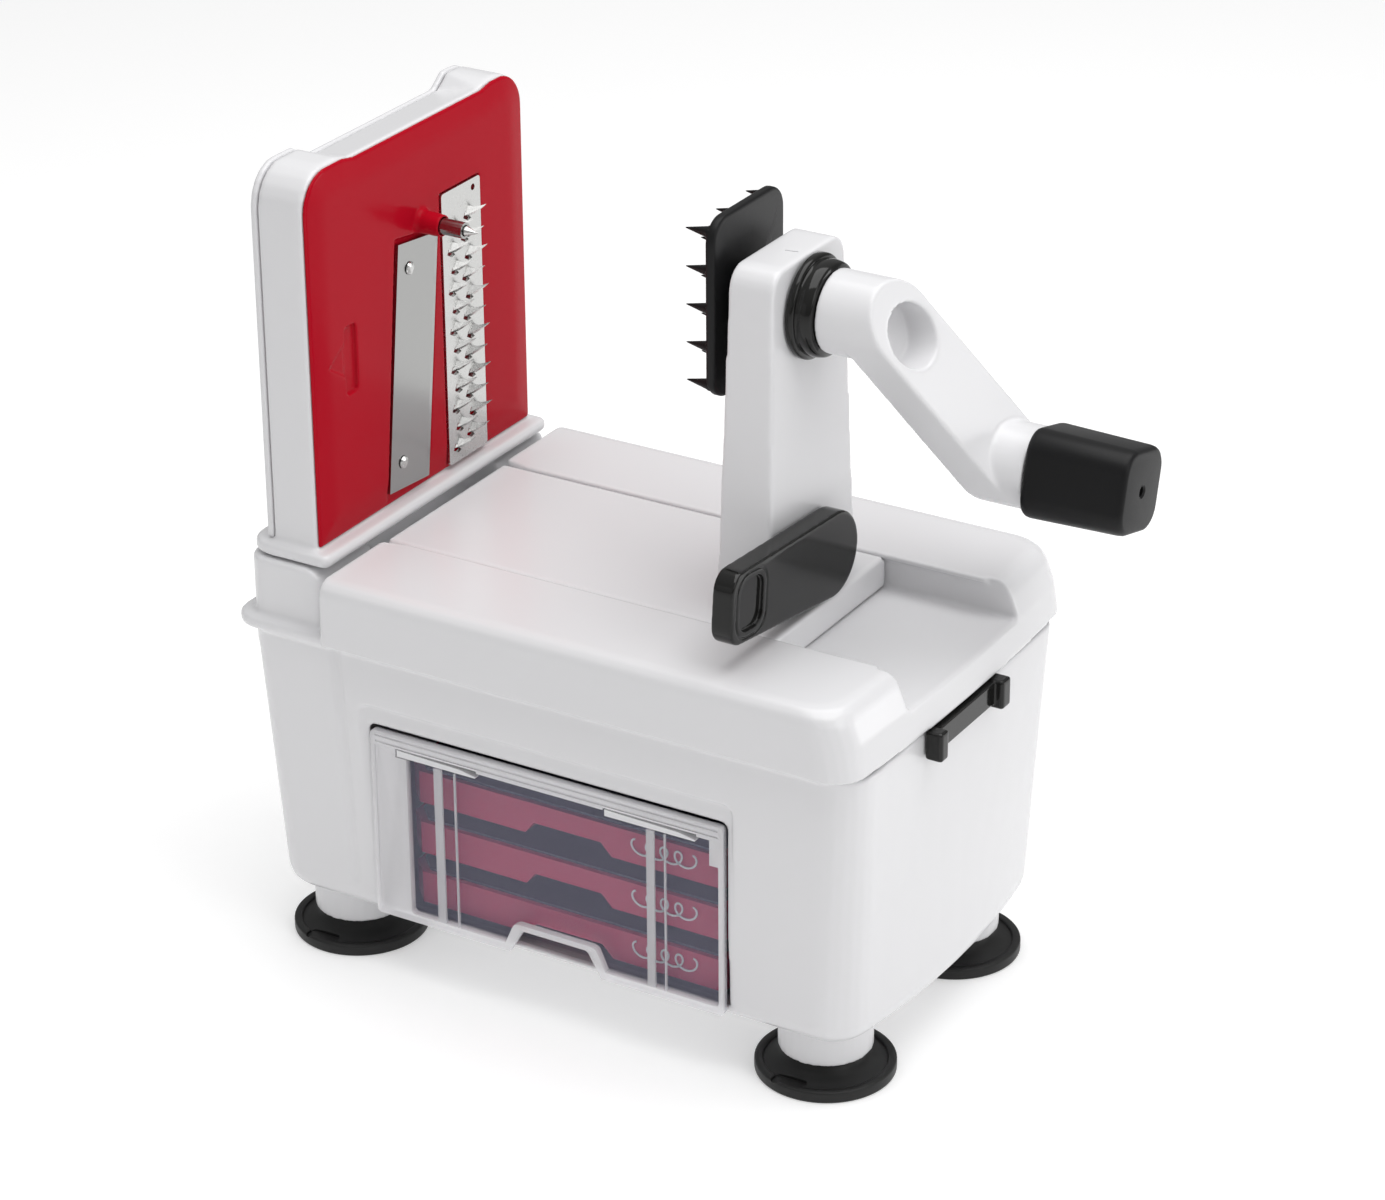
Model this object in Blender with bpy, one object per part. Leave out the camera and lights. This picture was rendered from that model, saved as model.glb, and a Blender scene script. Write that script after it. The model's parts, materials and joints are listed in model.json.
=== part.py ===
"""Hand-crank spiral vegetable slicer on suction feet, in metres, +Z up.

The crank axis runs along X, the blade panel stands at the -X end and the drawer opens towards -Y.
Lengths are named in millimetres below. They are measured from the middle between the four feet,
and the empty called slicer then moves everything so that the origin is under the middle of the
whole object.
"""

import math

import bmesh
import bpy
from mathutils import Matrix, Vector

for old in list(bpy.data.objects):
    bpy.data.objects.remove(old, do_unlink=True)

MM = 0.001
GAP = 0.3                      # clearance between pieces that touch on the real object

# where the origin goes: the middle of the whole object, on the floor
MIDDLE_X = 20.5

# feet
FOOT_X = 89.0
FOOT_Y = 43.0
CUP_RADIUS = 22.6
BOSS_RADIUS = 15.2
CUP_TOP = 9.0
STUD_RADIUS = 5.0

# base housing: a tapered tub
WALL = 2.6
BASE_BOTTOM = 20.0
RIM_BOTTOM = 117.5
RIM_TOP = 121.0
RIM_RIGHT = 108.6
TOP_LEFT = -112.5
TOP_RIGHT = 113.0
TOP_HALF_WIDTH = 68.5
BOTTOM_LEFT = -107.0
BOTTOM_RIGHT = 107.5
BOTTOM_HALF_WIDTH = 64.0
BOTTOM_ROUND = 7.0
END_BOW = 6.2                  # the end walls swell by this much at the bottom, and not at the top
BODY_CORNER = 11.0
CHEEK_RIGHT = -82.0            # the two cheeks carry the blade panel and guide the carriage
CHEEK_INNER = 36.6
CHEEK_OUTER = 66.5
CHEEK_TOP = 141.0

# top cover: skirt, two rails with lips, and the trough between them
COVER_LEFT = -79.0
COVER_RIGHT = 112.3
COVER_BOW = 3.2
COVER_HALF_WIDTH = 73.0
COVER_TOP = 141.5
SKIRT_BOTTOM = 118.8
SKIRT_FLARE = 0.4
SKIRT_WALL = 2.4
EDGE_ROUND = 5.0
LIP_INNER = 34.6
LIP_BOTTOM = 139.7
LIP_END = 102.0
GROOVE_WALL = 36.4
TROUGH_FLOOR = 129.5
TROUGH_UNDER = 127.0

# drawer and its opening
DRAWER_HALF_LENGTH = 65.0
DRAWER_FRONT = -64.2
DRAWER_BACK = 55.0
DRAWER_BOTTOM = 25.2
DRAWER_TOP = 90.0
DOOR_THICKNESS = 2.4
SPARE_PITCH = 18.5
SPARE_LEFT = -57.5
SPARE_RIGHT = 62.0
SPARE_FRONT = -60.0
SPARE_BACK = 50.0
SPARE_THICKNESS = 11.2
CATCHES = ((-56.0, -25.0), (22.0, 56.0))       # where the two catches of the door start and end
CATCH_Z = 82.4
PULL_MIDDLE = 3.2

# blade panel
PANEL_BACK = -105.5
PANEL_FRONT = -86.6
PANEL_HALF_WIDTH = 61.5
PANEL_BOTTOM = 146.0
PANEL_TOP = 271.6
PANEL_CORNER = 13.0
DIP_FRONT = 1.2                # how far the middle of the top is lowered, in front and at the back
DIP_BACK = 4.6
PANEL_WALL = 2.6
FLANGE_LEFT = -112.5
FLANGE_RIGHT = -80.5
FLANGE_HALF_WIDTH = 65.0
FLANGE_BOTTOM = 141.6
FACE = -84.4                   # the red cassette's front face
CORER_RADIUS = 2.7

# crank
SPINDLE_Z = 237.6
SPINDLE_RADIUS = 5.0
CRANK_ANGLE = math.radians(29.0)      # from straight down towards +Y
CRANK_LEAN = math.radians(25.0)       # of the arm away from the tower
CRANK_RADIUS = 58.0
ARM_FACE = 90.0
ARM_THICKNESS = 15.0
HUB_RADIUS = 13.2
TIP_RADIUS = 13.4
HUB_START = 66.4
NECK_END = 123.5
KNOB_LENGTH = 34.0
KNOB_HALF = 13.9

# carriage and tower
CARRIAGE_LEFT = -78.5
CARRIAGE_RIGHT = 66.0
CARRIAGE_HALF_WIDTH = 34.2
CARRIAGE_TOP = 141.0
CARRIAGE_BOTTOM = 129.9
CARRIAGE_FLANGE = 36.0
CARRIAGE_FLANGE_TOP = 139.2
TOWER_TOP = 254.3
TOWER_LEFT_LOW = 40.0
TOWER_LEFT_HIGH = 42.0
TOWER_RIGHT_LOW = 59.5
TOWER_RIGHT_HIGH = 57.2
TOWER_HALF_LOW = 27.3
TOWER_HALF_HIGH = 22.4
TOWER_ROUND = 7.6
TOWER_WALL = 2.8
TOWER_COVER_THICKNESS = 2.6

# pusher
PUSHER_LEFT = 33.0
PUSHER_RIGHT = 36.6
PUSHER_HALF_Y = 21.2
PUSHER_HALF_Z = 29.4
SPIKE_LENGTH = 8.5
SPIKE_COLUMNS = 5
SPIKE_PITCH_Y = 9.0
SPIKE_PITCH_Z = 12.4

# push lever
LEVER_Z = 155.9
LEVER_LENGTH = 64.5
LEVER_RISE = math.radians(6.0)
LEVER_LEFT = 60.0
LEVER_RIGHT = 67.6

GROUP_ORIGINS = {
    "base": (0.0, 0.0, 0.0),
    "drawer": (0.0, DRAWER_FRONT, DRAWER_BOTTOM),
    "cassette": (FACE, 0.0, SPINDLE_Z),
    "carriage": (0.0, 0.0, CARRIAGE_BOTTOM),
    "crank": (HUB_START, 0.0, SPINDLE_Z),
    "knob": (
        NECK_END,
        CRANK_RADIUS * math.sin(CRANK_ANGLE),
        SPINDLE_Z - CRANK_RADIUS * math.cos(CRANK_ANGLE),
    ),
    "lever": (LEVER_LEFT, 0.0, LEVER_Z),
}
KNOB_CENTRE = Vector(GROUP_ORIGINS["knob"])


# ---------------------------------------------------------------- materials

def material(name, colour, roughness, metallic=0.0, alpha=1.0):
    made = bpy.data.materials.new(name)
    made.use_nodes = True
    shader = made.node_tree.nodes["Principled BSDF"]
    shader.inputs["Base Color"].default_value = (*colour, 1.0)
    shader.inputs["Roughness"].default_value = roughness
    shader.inputs["Metallic"].default_value = metallic
    shader.inputs["Alpha"].default_value = alpha
    made.diffuse_color = (*colour, alpha)
    return made


WHITE = material("white_plastic", (0.80, 0.80, 0.81), 0.3)
RED = material("red_plastic", (0.42, 0.012, 0.03), 0.25)
BLACK_GLOSS = material("gloss_black_plastic", (0.015, 0.015, 0.014), 0.12)
BLACK_SATIN = material("satin_black_plastic", (0.02, 0.02, 0.022), 0.45)
RUBBER = material("black_rubber", (0.012, 0.012, 0.012), 0.7)
STEEL = material("stainless_steel", (0.62, 0.62, 0.61), 0.28, 1.0)
CLEAR = material("clear_plastic", (0.92, 0.93, 0.94), 0.08, 0.0, 0.3)


# ---------------------------------------------------------------- groups

def add_empty(name, location, parent=None):
    empty = bpy.data.objects.new(name, None)
    empty.location = [c * MM for c in location]
    empty.parent = parent
    bpy.context.scene.collection.objects.link(empty)
    return empty


SLICER = add_empty("slicer", (-MIDDLE_X, 0.0, 0.0))
GROUPS = {
    name: add_empty(f"{name}_group", place, SLICER) for name, place in GROUP_ORIGINS.items()
}


# ---------------------------------------------------------------- making meshes

def finish(name, bm, look, group, smooth=True):
    """Turns a bmesh in millimetres into an object under its group's empty."""
    bmesh.ops.recalc_face_normals(bm, faces=bm.faces)
    bmesh.ops.transform(bm, matrix=Matrix.Translation(-Vector(GROUP_ORIGINS[group])), verts=bm.verts)
    bmesh.ops.scale(bm, vec=(MM, MM, MM), verts=bm.verts)
    mesh = bpy.data.meshes.new(name)
    bm.to_mesh(mesh)
    bm.free()
    if smooth:
        mesh.shade_smooth()
        mesh.set_sharp_from_angle(angle=math.radians(30))
    made = bpy.data.objects.new(name, mesh)
    made.parent = GROUPS[group]
    made.data.materials.append(look)
    bpy.context.scene.collection.objects.link(made)
    return made


def loft(name, sections, look, group):
    """A closed body through rings of points that all have the same count."""
    bm = bmesh.new()
    rings = [[bm.verts.new(point) for point in section] for section in sections]
    count = len(rings[0])
    for low, high in zip(rings, rings[1:]):
        for i in range(count):
            j = (i + 1) % count
            bm.faces.new((low[i], low[j], high[j], high[i]))
    bm.faces.new(list(reversed(rings[0])))
    bm.faces.new(rings[-1])
    return finish(name, bm, look, group)


def on_axis(axis, along, u, v):
    """A point at `along` on the axis, with u and v on the two others, in X, Y, Z order."""
    if axis == "X":
        return (along, u, v)
    if axis == "Y":
        return (u, along, v)
    return (u, v, along)


def prism(name, outline, axis, low, high, look, group):
    """An outline of (u, v) points extruded along X, Y or Z."""
    ends = [[on_axis(axis, along, u, v) for u, v in outline] for along in (low, high)]
    return loft(name, ends, look, group)


def box(name, low, high, look, group):
    outline = [(low[0], low[1]), (high[0], low[1]), (high[0], high[1]), (low[0], high[1])]
    return prism(name, outline, "Z", low[2], high[2], look, group)


def turned(name, profile, axis, centre, look, group, steps=28):
    """Turns a profile of (along, radius) points about an axis through centre.

    The first and last points lie on the axis, or the profile closes on itself around a hole.
    """
    bm = bmesh.new()
    solid = profile[0][1] == 0.0
    rings = []
    for along, radius in profile:
        if radius == 0.0:
            spots = [(0.0, 0.0)]
        else:
            turn = [2 * math.pi * i / steps for i in range(steps)]
            spots = [(radius * math.cos(t), radius * math.sin(t)) for t in turn]
        ring = [
            bm.verts.new(Vector(on_axis(axis, along, u, v)) + Vector(centre)) for u, v in spots
        ]
        rings.append(ring)
    pairs = list(zip(rings, rings[1:]))
    if not solid:
        pairs.append((rings[-1], rings[0]))
    for a, b in pairs:
        for i in range(steps):
            j = (i + 1) % steps
            corners = [a[i % len(a)], a[j % len(a)], b[j % len(b)], b[i % len(b)]]
            unique = list(dict.fromkeys(corners))
            bm.faces.new(unique)
    return finish(name, bm, look, group)


def rounded(low_u, low_v, high_u, high_v, radius, steps=4):
    """A rectangle with round corners, as (u, v) points, anticlockwise."""
    radii = radius if isinstance(radius, (list, tuple)) else [radius] * 4
    corners = [(low_u, low_v, 180), (high_u, low_v, 270), (high_u, high_v, 0), (low_u, high_v, 90)]
    points = []
    for (u, v, start), r in zip(corners, radii):
        centre_u = u + r if u == low_u else u - r
        centre_v = v + r if v == low_v else v - r
        for i in range(steps + 1):
            angle = math.radians(start + 90 * i / steps)
            points.append((centre_u + r * math.cos(angle), centre_v + r * math.sin(angle)))
    return points


def at_height(outline, z):
    return [(u, v, z) for u, v in outline]


def tool(made):
    """Marks an object as a cutter or a guide, which isn't part of the model."""
    made.hide_render = True
    made.display_type = "WIRE"
    return made


def combine(target, other, operation):
    step = target.modifiers.new(f"{operation.lower()}_{other.name}", "BOOLEAN")
    step.operation = operation
    step.object = tool(other)
    return target


def cut(target, *cutters):
    for cutter in cutters:
        combine(target, cutter, "DIFFERENCE")
    return target


def join(target, *others):
    for other in others:
        combine(target, other, "UNION")
    return target


def soften(made, width, segments=2):
    """Rounds the sharp edges that the mesh has so far."""
    bevel = made.modifiers.new("soften", "BEVEL")
    bevel.width = width * MM
    bevel.segments = segments
    bevel.limit_method = "ANGLE"
    bevel.angle_limit = math.radians(35)
    return made


def cylinder(name, axis, centre, low, high, radius, look, group, steps=24):
    profile = [(low, 0.0), (low, radius), (high, radius), (high, 0.0)]
    return turned(name, profile, axis, centre, look, group, steps)


# ---------------------------------------------------------------- feet

def suction_cup(name, x, y):
    """A flat disc with a raised rim, a low cone inside it and a stud that goes up into the boss."""
    neck = BOSS_RADIUS - 3.0
    profile = [
        (0.0, 0.0), (0.0, CUP_RADIUS), (3.4, CUP_RADIUS), (4.0, CUP_RADIUS - 0.8),
        (4.0, CUP_RADIUS - 2.4), (3.2, CUP_RADIUS - 2.9), (4.6, BOSS_RADIUS), (7.6, neck),
        (CUP_TOP - 0.4, neck), (CUP_TOP - 0.4, STUD_RADIUS), (CUP_TOP + 9.0, STUD_RADIUS),
        (CUP_TOP + 9.0, 0.0),
    ]
    cup = turned(name, profile, "Z", (x, y, 0.0), RUBBER, "base", 32)
    hollow = turned(
        f"{name}_hollow", [(-1.0, 0.0), (-1.0, 19.5), (2.4, 11.0), (3.0, 0.0)],
        "Z", (x, y, 0.0), RUBBER, "base", 32,
    )
    return cut(cup, hollow)


FEET = [(x, y) for y in (-FOOT_Y, FOOT_Y) for x in (-FOOT_X, FOOT_X)]

for number, (x, y) in enumerate(FEET, 1):
    suction_cup(f"suction_cup_{number}", x, y)


# ---------------------------------------------------------------- base housing

def bowed(outline, right, half, left_bow, right_bow):
    """Swells the two ends of a rounded rectangle, most in the middle of each end."""
    points = []
    for x, y in outline:
        bow = right_bow if x > 0.0 else -left_bow
        points.append((x + bow * (1.0 - min(abs(y) / half, 1.0) ** 2) * min(abs(x) / right, 1.0), y))
    return points


def end_points(x, half, count=7):
    """Points along a straight end at x, between its two corners."""
    return [(x, half * (2.0 * (i + 1) / (count + 1) - 1.0)) for i in range(count)]


def body_ring(share, z, inset=0.0):
    """The tub's outline, share of the way up from its bottom to its top."""
    left = BOTTOM_LEFT + (TOP_LEFT - BOTTOM_LEFT) * share + inset
    right = BOTTOM_RIGHT + (TOP_RIGHT - BOTTOM_RIGHT) * share - inset
    half = BOTTOM_HALF_WIDTH + (TOP_HALF_WIDTH - BOTTOM_HALF_WIDTH) * share - inset
    corner = BODY_CORNER - min(inset, 6.0)
    steps = 5
    outline = rounded(left, -half, right, half, corner, steps)
    ends = 2 * (steps + 1)
    right_end = end_points(right, half - corner)
    left_end = [(left, -y) for x, y in end_points(left, half - corner)]
    outline = outline[:ends] + right_end + outline[ends:] + left_end
    bow = END_BOW * (1.0 - share)
    return at_height(bowed(outline, right, half, bow, bow), z)


def body_rings(inset, low, high, edge):
    """Rings up the tapered side, with a quarter round of radius edge at the bottom."""
    rings = []
    for angle in (90, 60, 30, 0):
        turn = math.radians(angle)
        z = low + edge * (1 - math.cos(math.radians(90 - angle)))
        rings.append(body_ring(0.0, z, inset + edge * (1 - math.cos(turn))))
    for share in (0.35, 0.7, 1.0):
        rings.append(body_ring(share, low + edge + (high - low - edge) * share, inset))
    return rings


def base_housing():
    body = loft("base_housing", body_rings(0.0, BASE_BOTTOM, RIM_BOTTOM, BOTTOM_ROUND), WHITE, "base")
    rim_outline = rounded(TOP_LEFT - 4.0, -70.0, RIM_RIGHT, 70.0, 9.0, 5)
    rim = prism("rim", rim_outline, "Z", RIM_BOTTOM - 0.6, RIM_TOP, WHITE, "base")
    soften(rim, 1.0)
    cheek_side = rounded(TOP_LEFT + 0.3, 110.0, CHEEK_RIGHT, CHEEK_TOP, [0.5, 0.5, 7.0, 1.0])
    cheeks = prism("cheeks", cheek_side, "Y", -CHEEK_OUTER, CHEEK_OUTER, WHITE, "base")
    cheek_plan = rounded(TOP_LEFT + 0.3, -CHEEK_OUTER, CHEEK_RIGHT, CHEEK_OUTER, [8.0, 3.0, 3.0, 8.0])
    cheek_limit = prism("cheek_limit", cheek_plan, "Z", 100.0, 150.0, WHITE, "base")
    combine(cheeks, cheek_limit, "INTERSECT")
    end_wall = box("end_wall", (RIM_RIGHT - 4.0, -58.0, 110.0), (RIM_RIGHT - 0.4, 58.0, TROUGH_UNDER - GAP),
                   WHITE, "base")
    join(body, rim, cheeks, end_wall)
    inside = loft("inside", body_rings(WALL, BASE_BOTTOM + WALL, RIM_TOP + 20.0, 4.0), WHITE, "base")
    inside_limit = box("inside_limit", (-78.5, -80.0, 0.0), (130.0, 80.0, 200.0), WHITE, "base")
    inside_left = loft("inside_left", body_rings(WALL + 0.3, BASE_BOTTOM + WALL, RIM_BOTTOM + 8.0, 4.0),
                       WHITE, "base")
    combine(inside, inside_limit, "INTERSECT")
    opening = box("drawer_opening", (-66.0, -90.0, 24.6), (66.0, -55.0, 91.0), WHITE, "base")
    pocket = prism("drawer_pocket", rounded(-69.0, 23.2, 69.0, 99.0, [1.0, 1.0, 3.0, 3.0], 2), "Y",
                   -90.0, -65.4, WHITE, "base")
    slot = box("carriage_slot", (-130.0, -CHEEK_INNER, TROUGH_FLOOR), (-70.0, CHEEK_INNER, 160.0),
               WHITE, "base")
    cut(body, inside, inside_left, opening, pocket, slot)
    return body


def foot_boss(number, x, y):
    """A short ring between a cup and the tub, its top shaped to the tub's rounded edge."""
    profile = [(CUP_TOP, STUD_RADIUS + 0.4), (CUP_TOP, BOSS_RADIUS), (BASE_BOTTOM + 4.0, BOSS_RADIUS),
               (BASE_BOTTOM + 4.0, STUD_RADIUS + 0.4)]
    boss = turned(f"foot_boss_{number}", profile, "Z", (x, y, 0.0), WHITE, "base", 28)
    tub_rings = body_rings(-GAP, BASE_BOTTOM - GAP, RIM_BOTTOM, BOTTOM_ROUND + GAP)
    return cut(boss, loft(f"boss_limit_{number}", tub_rings, WHITE, "base"))


base_housing()
for number, (x, y) in enumerate(FEET, 1):
    foot_boss(number, x, y)


# ---------------------------------------------------------------- top cover

def cover_ring(z, inset, end_inset):
    """The cover's outline at one height: square at its left end and bowed at its right end."""
    right = COVER_RIGHT - end_inset
    half = COVER_HALF_WIDTH + SKIRT_FLARE - inset
    corner = 10.0
    steps = 5
    outline = rounded(COVER_LEFT, -half, right, half, [1.5, corner, corner, 1.5], steps)
    ends = 2 * (steps + 1)
    outline = outline[:ends] + end_points(right, half - corner) + outline[ends:]
    return at_height(bowed(outline, right, half, 0.0, COVER_BOW), z)


def trough(name, half, low, left, right):
    return box(name, (left, -half, low), (right, half, 160.0), WHITE, "base")


def top_cover():
    levels = [
        (SKIRT_BOTTOM, 0.0, 0.0), (TROUGH_FLOOR, 0.3, 1.5), (COVER_TOP - EDGE_ROUND, 0.4, 4.2),
        (COVER_TOP - 2.5, 0.4 + 0.13 * EDGE_ROUND, 5.6), (COVER_TOP - 0.7, 0.4 + 0.5 * EDGE_ROUND, 7.4),
        (COVER_TOP, 0.4 + EDGE_ROUND, 9.8),
    ]
    cover = loft("top_cover", [cover_ring(*level) for level in levels], WHITE, "base")
    under = loft("cover_under", [
        [(x - 0.1, y, z) for x, y, z in cover_ring(SKIRT_BOTTOM - 5.0, SKIRT_WALL, SKIRT_WALL)],
        [(x - 0.1, y, z) for x, y, z in cover_ring(TROUGH_UNDER, SKIRT_WALL + 0.3, SKIRT_WALL + 1.2)],
    ], WHITE, "base")
    under_limit = box("under_limit", (COVER_LEFT + SKIRT_WALL, -90.0, 100.0), (130.0, 90.0, 140.0), WHITE,
                      "base")
    combine(under, under_limit, "INTERSECT")
    rim_room = box("rim_room", (COVER_LEFT - 5.0, -70.6, 100.0), (COVER_LEFT + 5.0, 70.6, RIM_TOP + 0.6),
                   WHITE, "base")
    cut(cover, under, rim_room)
    for side in (-1, 1):
        low, high = sorted((side * (GROOVE_WALL + SKIRT_WALL), side * (COVER_HALF_WIDTH - 4.6)))
        channel = prism(f"rail_hollow_{side}", [(COVER_LEFT + SKIRT_WALL, TROUGH_UNDER - 1.0),
                        (106.0, TROUGH_UNDER - 1.0), (99.0, COVER_TOP - SKIRT_WALL),
                        (COVER_LEFT + SKIRT_WALL, COVER_TOP - SKIRT_WALL)], "Y", low, high, WHITE, "base")
        cut(cover, channel)
    lips = trough("trough_between_lips", LIP_INNER, TROUGH_FLOOR, COVER_LEFT - 9.0, 140.0)
    groove = box("trough_groove", (COVER_LEFT - 9.0, -GROOVE_WALL, TROUGH_FLOOR),
                 (LIP_END, GROOVE_WALL, LIP_BOTTOM), WHITE, "base")
    run_out = trough("trough_run_out", GROOVE_WALL, TROUGH_FLOOR, LIP_END, 140.0)
    return cut(cover, lips, groove, run_out)


top_cover()

for number, (x, y) in enumerate(((-60, -54), (90, -54), (-60, 54), (90, 54)), 1):
    turned(f"cover_screw_{number}", [(123.0, 0.0), (123.0, 3.6), (126.0, 3.6), (126.0, 1.7),
           (138.5, 1.7), (138.5, 0.0)], "Z", (x, y, 0.0), STEEL, "base", 12)


# ---------------------------------------------------------------- crank clip

def crank_clip():
    clip = box("crank_clip", (113.6, -26.0, 110.0), (116.4, 19.6, 117.6), BLACK_GLOSS, "base")
    for side, low, high in (("near", -26.4, -21.6), ("far", 14.4, 20.0)):
        prong = box(f"{side}_prong", (113.4, low, 108.4), (119.4, high, 118.3), BLACK_GLOSS, "base")
        soften(prong, 0.8)
        join(clip, prong)
    return clip


crank_clip()


# ---------------------------------------------------------------- drawer

def drawer_parts():
    door_outline = rounded(-DRAWER_HALF_LENGTH - 0.4, 23.2, DRAWER_HALF_LENGTH + 0.4, DRAWER_TOP + 0.2, 1.4, 2)
    door = prism("drawer_front", door_outline, "Y", DRAWER_FRONT - DOOR_THICKNESS, DRAWER_FRONT, CLEAR,
                 "drawer")
    right_half = [(18.0, 22.0), (13.6, 30.6), (11.6, 32.0)]
    pull = [(PULL_MIDDLE + x, z) for x, z in right_half]
    pull += [(PULL_MIDDLE - x, z) for x, z in reversed(right_half)]
    cut(door, prism("pull_cut", pull, "Y", -75.0, -60.0, CLEAR, "drawer"))
    for number, (low, high) in enumerate(CATCHES, 1):
        slot = box(f"catch_slot_{number}", (low, -75.0, CATCH_Z), (high, -60.0, CATCH_Z + 4.0), CLEAR, "drawer")
        cut(door, slot)

    back = DRAWER_FRONT + GAP
    tray = box("drawer_tray", (-DRAWER_HALF_LENGTH, back, DRAWER_BOTTOM),
               (DRAWER_HALF_LENGTH, DRAWER_BACK, DRAWER_TOP - 2.0), CLEAR, "drawer")
    hollow = box("tray_hollow", (-DRAWER_HALF_LENGTH + 2.0, back + 2.0, DRAWER_BOTTOM + 1.8),
                 (DRAWER_HALF_LENGTH - 2.0, DRAWER_BACK - 2.0, 120.0), CLEAR, "drawer")
    cut(tray, hollow)
    for number, (low, high) in enumerate(CATCHES, 1):
        notch = box(f"catch_notch_{number}", (low - 0.6, -75.0, CATCH_Z - 0.6), (high + 0.6, -60.0, 95.0),
                    CLEAR, "drawer")
        cut(tray, notch)
        start, end = low + 0.6, high - 0.6
        bottom = CATCH_Z + 0.4
        wing = [(start, bottom), (end, bottom), (end, bottom + 0.5), (end - 6.0, bottom + 1.6),
                (start, bottom + 2.2)]
        prism(f"drawer_catch_{number}", wing, "Y", -66.4, -62.6, WHITE, "drawer")


drawer_parts()


def spare_cassette(number, low):
    """A cassette stored flat, with a finger notch under its front edge and one corner cut off."""
    high = low + SPARE_THICKNESS
    plan = [(SPARE_LEFT + 6.0, SPARE_FRONT), (SPARE_RIGHT, SPARE_FRONT), (SPARE_RIGHT, SPARE_BACK),
            (SPARE_LEFT, SPARE_BACK), (SPARE_LEFT, SPARE_FRONT + 6.0)]
    shell = prism(f"spare_cassette_{number}", plan, "Z", low, high, RED, "drawer")
    under = box(f"spare_hollow_{number}", (SPARE_LEFT + 2.2, SPARE_FRONT + 8.2, low - 1.0),
                (SPARE_RIGHT - 2.2, SPARE_BACK - 2.2, high - 2.2), RED, "drawer")
    window = box(f"spare_window_{number}", (-30.0, -40.0, low - 2.0), (34.0, 38.0, high + 2.0), RED,
                 "drawer")
    notch = [(-12.0, low - 1.0), (22.0, low - 1.0), (17.0, low + 4.2), (-8.0, low + 4.2)]
    front_notch = prism(f"spare_notch_{number}", notch, "Y", -70.0, SPARE_FRONT + 12.0, RED, "drawer")
    cut(shell, under, window, front_notch)
    plate = prism(f"spare_blade_{number}", [(SPARE_LEFT + 8.0, SPARE_FRONT + 1.5),
                  (SPARE_RIGHT - 2.0, SPARE_FRONT + 1.5), (SPARE_RIGHT - 2.0, SPARE_BACK - 3.0),
                  (SPARE_LEFT + 2.0, SPARE_BACK - 3.0), (SPARE_LEFT + 2.0, SPARE_FRONT + 7.5)], "Z",
                  high + GAP, high + GAP + 0.8, STEEL, "drawer")
    gap = box(f"spare_gap_{number}", (-4.0, -38.0, high - 3.0), (2.0, 36.0, high + 5.0), STEEL, "drawer")
    return cut(plate, gap)


for number in range(3):
    spare_cassette(number + 1, DRAWER_BOTTOM + 2.3 + number * SPARE_PITCH)


# ---------------------------------------------------------------- blade panel

def panel_outline(dip, inset=0.0, dip_low=-34.0, dip_high=38.0, foot=0.0):
    """The panel seen along X, with the middle of its top edge lowered by dip."""
    top = PANEL_TOP - inset
    half = PANEL_HALF_WIDTH - inset
    corner = PANEL_CORNER - inset
    points = rounded(-half, PANEL_BOTTOM + foot, half, top, [1.0, 1.0, corner, corner], 5)
    far_arc = points[:18]
    near_arc = points[18:]
    middle = [(dip_high + 6.0, top), (dip_high, top - dip), (dip_low, top - dip), (dip_low - 6.0, top)]
    return far_arc + middle + near_arc


def at_x(outline, x):
    return [(x, y, z) for y, z in outline]


def panel_frame():
    frame = loft("panel_frame", [at_x(panel_outline(DIP_BACK, 0.0, foot=-4.0), PANEL_BACK + 2.2),
                 at_x(panel_outline(DIP_FRONT, 0.0, foot=-4.0), PANEL_FRONT)], WHITE, "base")
    flange = prism("panel_flange", rounded(FLANGE_LEFT, -FLANGE_HALF_WIDTH, FLANGE_RIGHT, FLANGE_HALF_WIDTH,
                   [9.0, 2.5, 2.5, 9.0], 5), "Z", FLANGE_BOTTOM, PANEL_BOTTOM, WHITE, "base")
    soften(flange, 1.2)
    join(frame, flange)
    inside = loft("panel_inside", [at_x(panel_outline(DIP_BACK, PANEL_WALL, foot=2.0), PANEL_BACK - 5.0),
                  at_x(panel_outline(DIP_BACK, PANEL_WALL, foot=2.0), PANEL_FRONT + 5.0)], WHITE, "base")
    return cut(frame, inside)


def panel_rear_cover():
    cover = prism("panel_rear_cover", panel_outline(DIP_BACK), "X", PANEL_BACK - 0.6, PANEL_BACK + 1.9, WHITE,
                  "base")
    below = box("rear_cover_foot", (-120.0, -80.0, 100.0), (-90.0, 80.0, PANEL_BOTTOM + GAP), WHITE, "base")
    window = prism("slice_outlet", rounded(-42.0, 152.0, 42.0, 252.0, 8.0, 4), "X", -120.0, -90.0, WHITE,
                   "base")
    return cut(cover, below, window)


panel_frame()
panel_rear_cover()
for number, (y, z) in enumerate(((-51, 158), (51, 158), (-51, 260), (51, 260)), 1):
    turned(f"panel_screw_{number}", [(PANEL_BACK - 2.4, 0.0), (PANEL_BACK - 2.4, 2.2),
           (PANEL_BACK - 0.9, 3.4), (PANEL_BACK - 0.9, 0.0)], "X", (0.0, y, z), STEEL, "base", 14)


# ---------------------------------------------------------------- blade cassette

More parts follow.
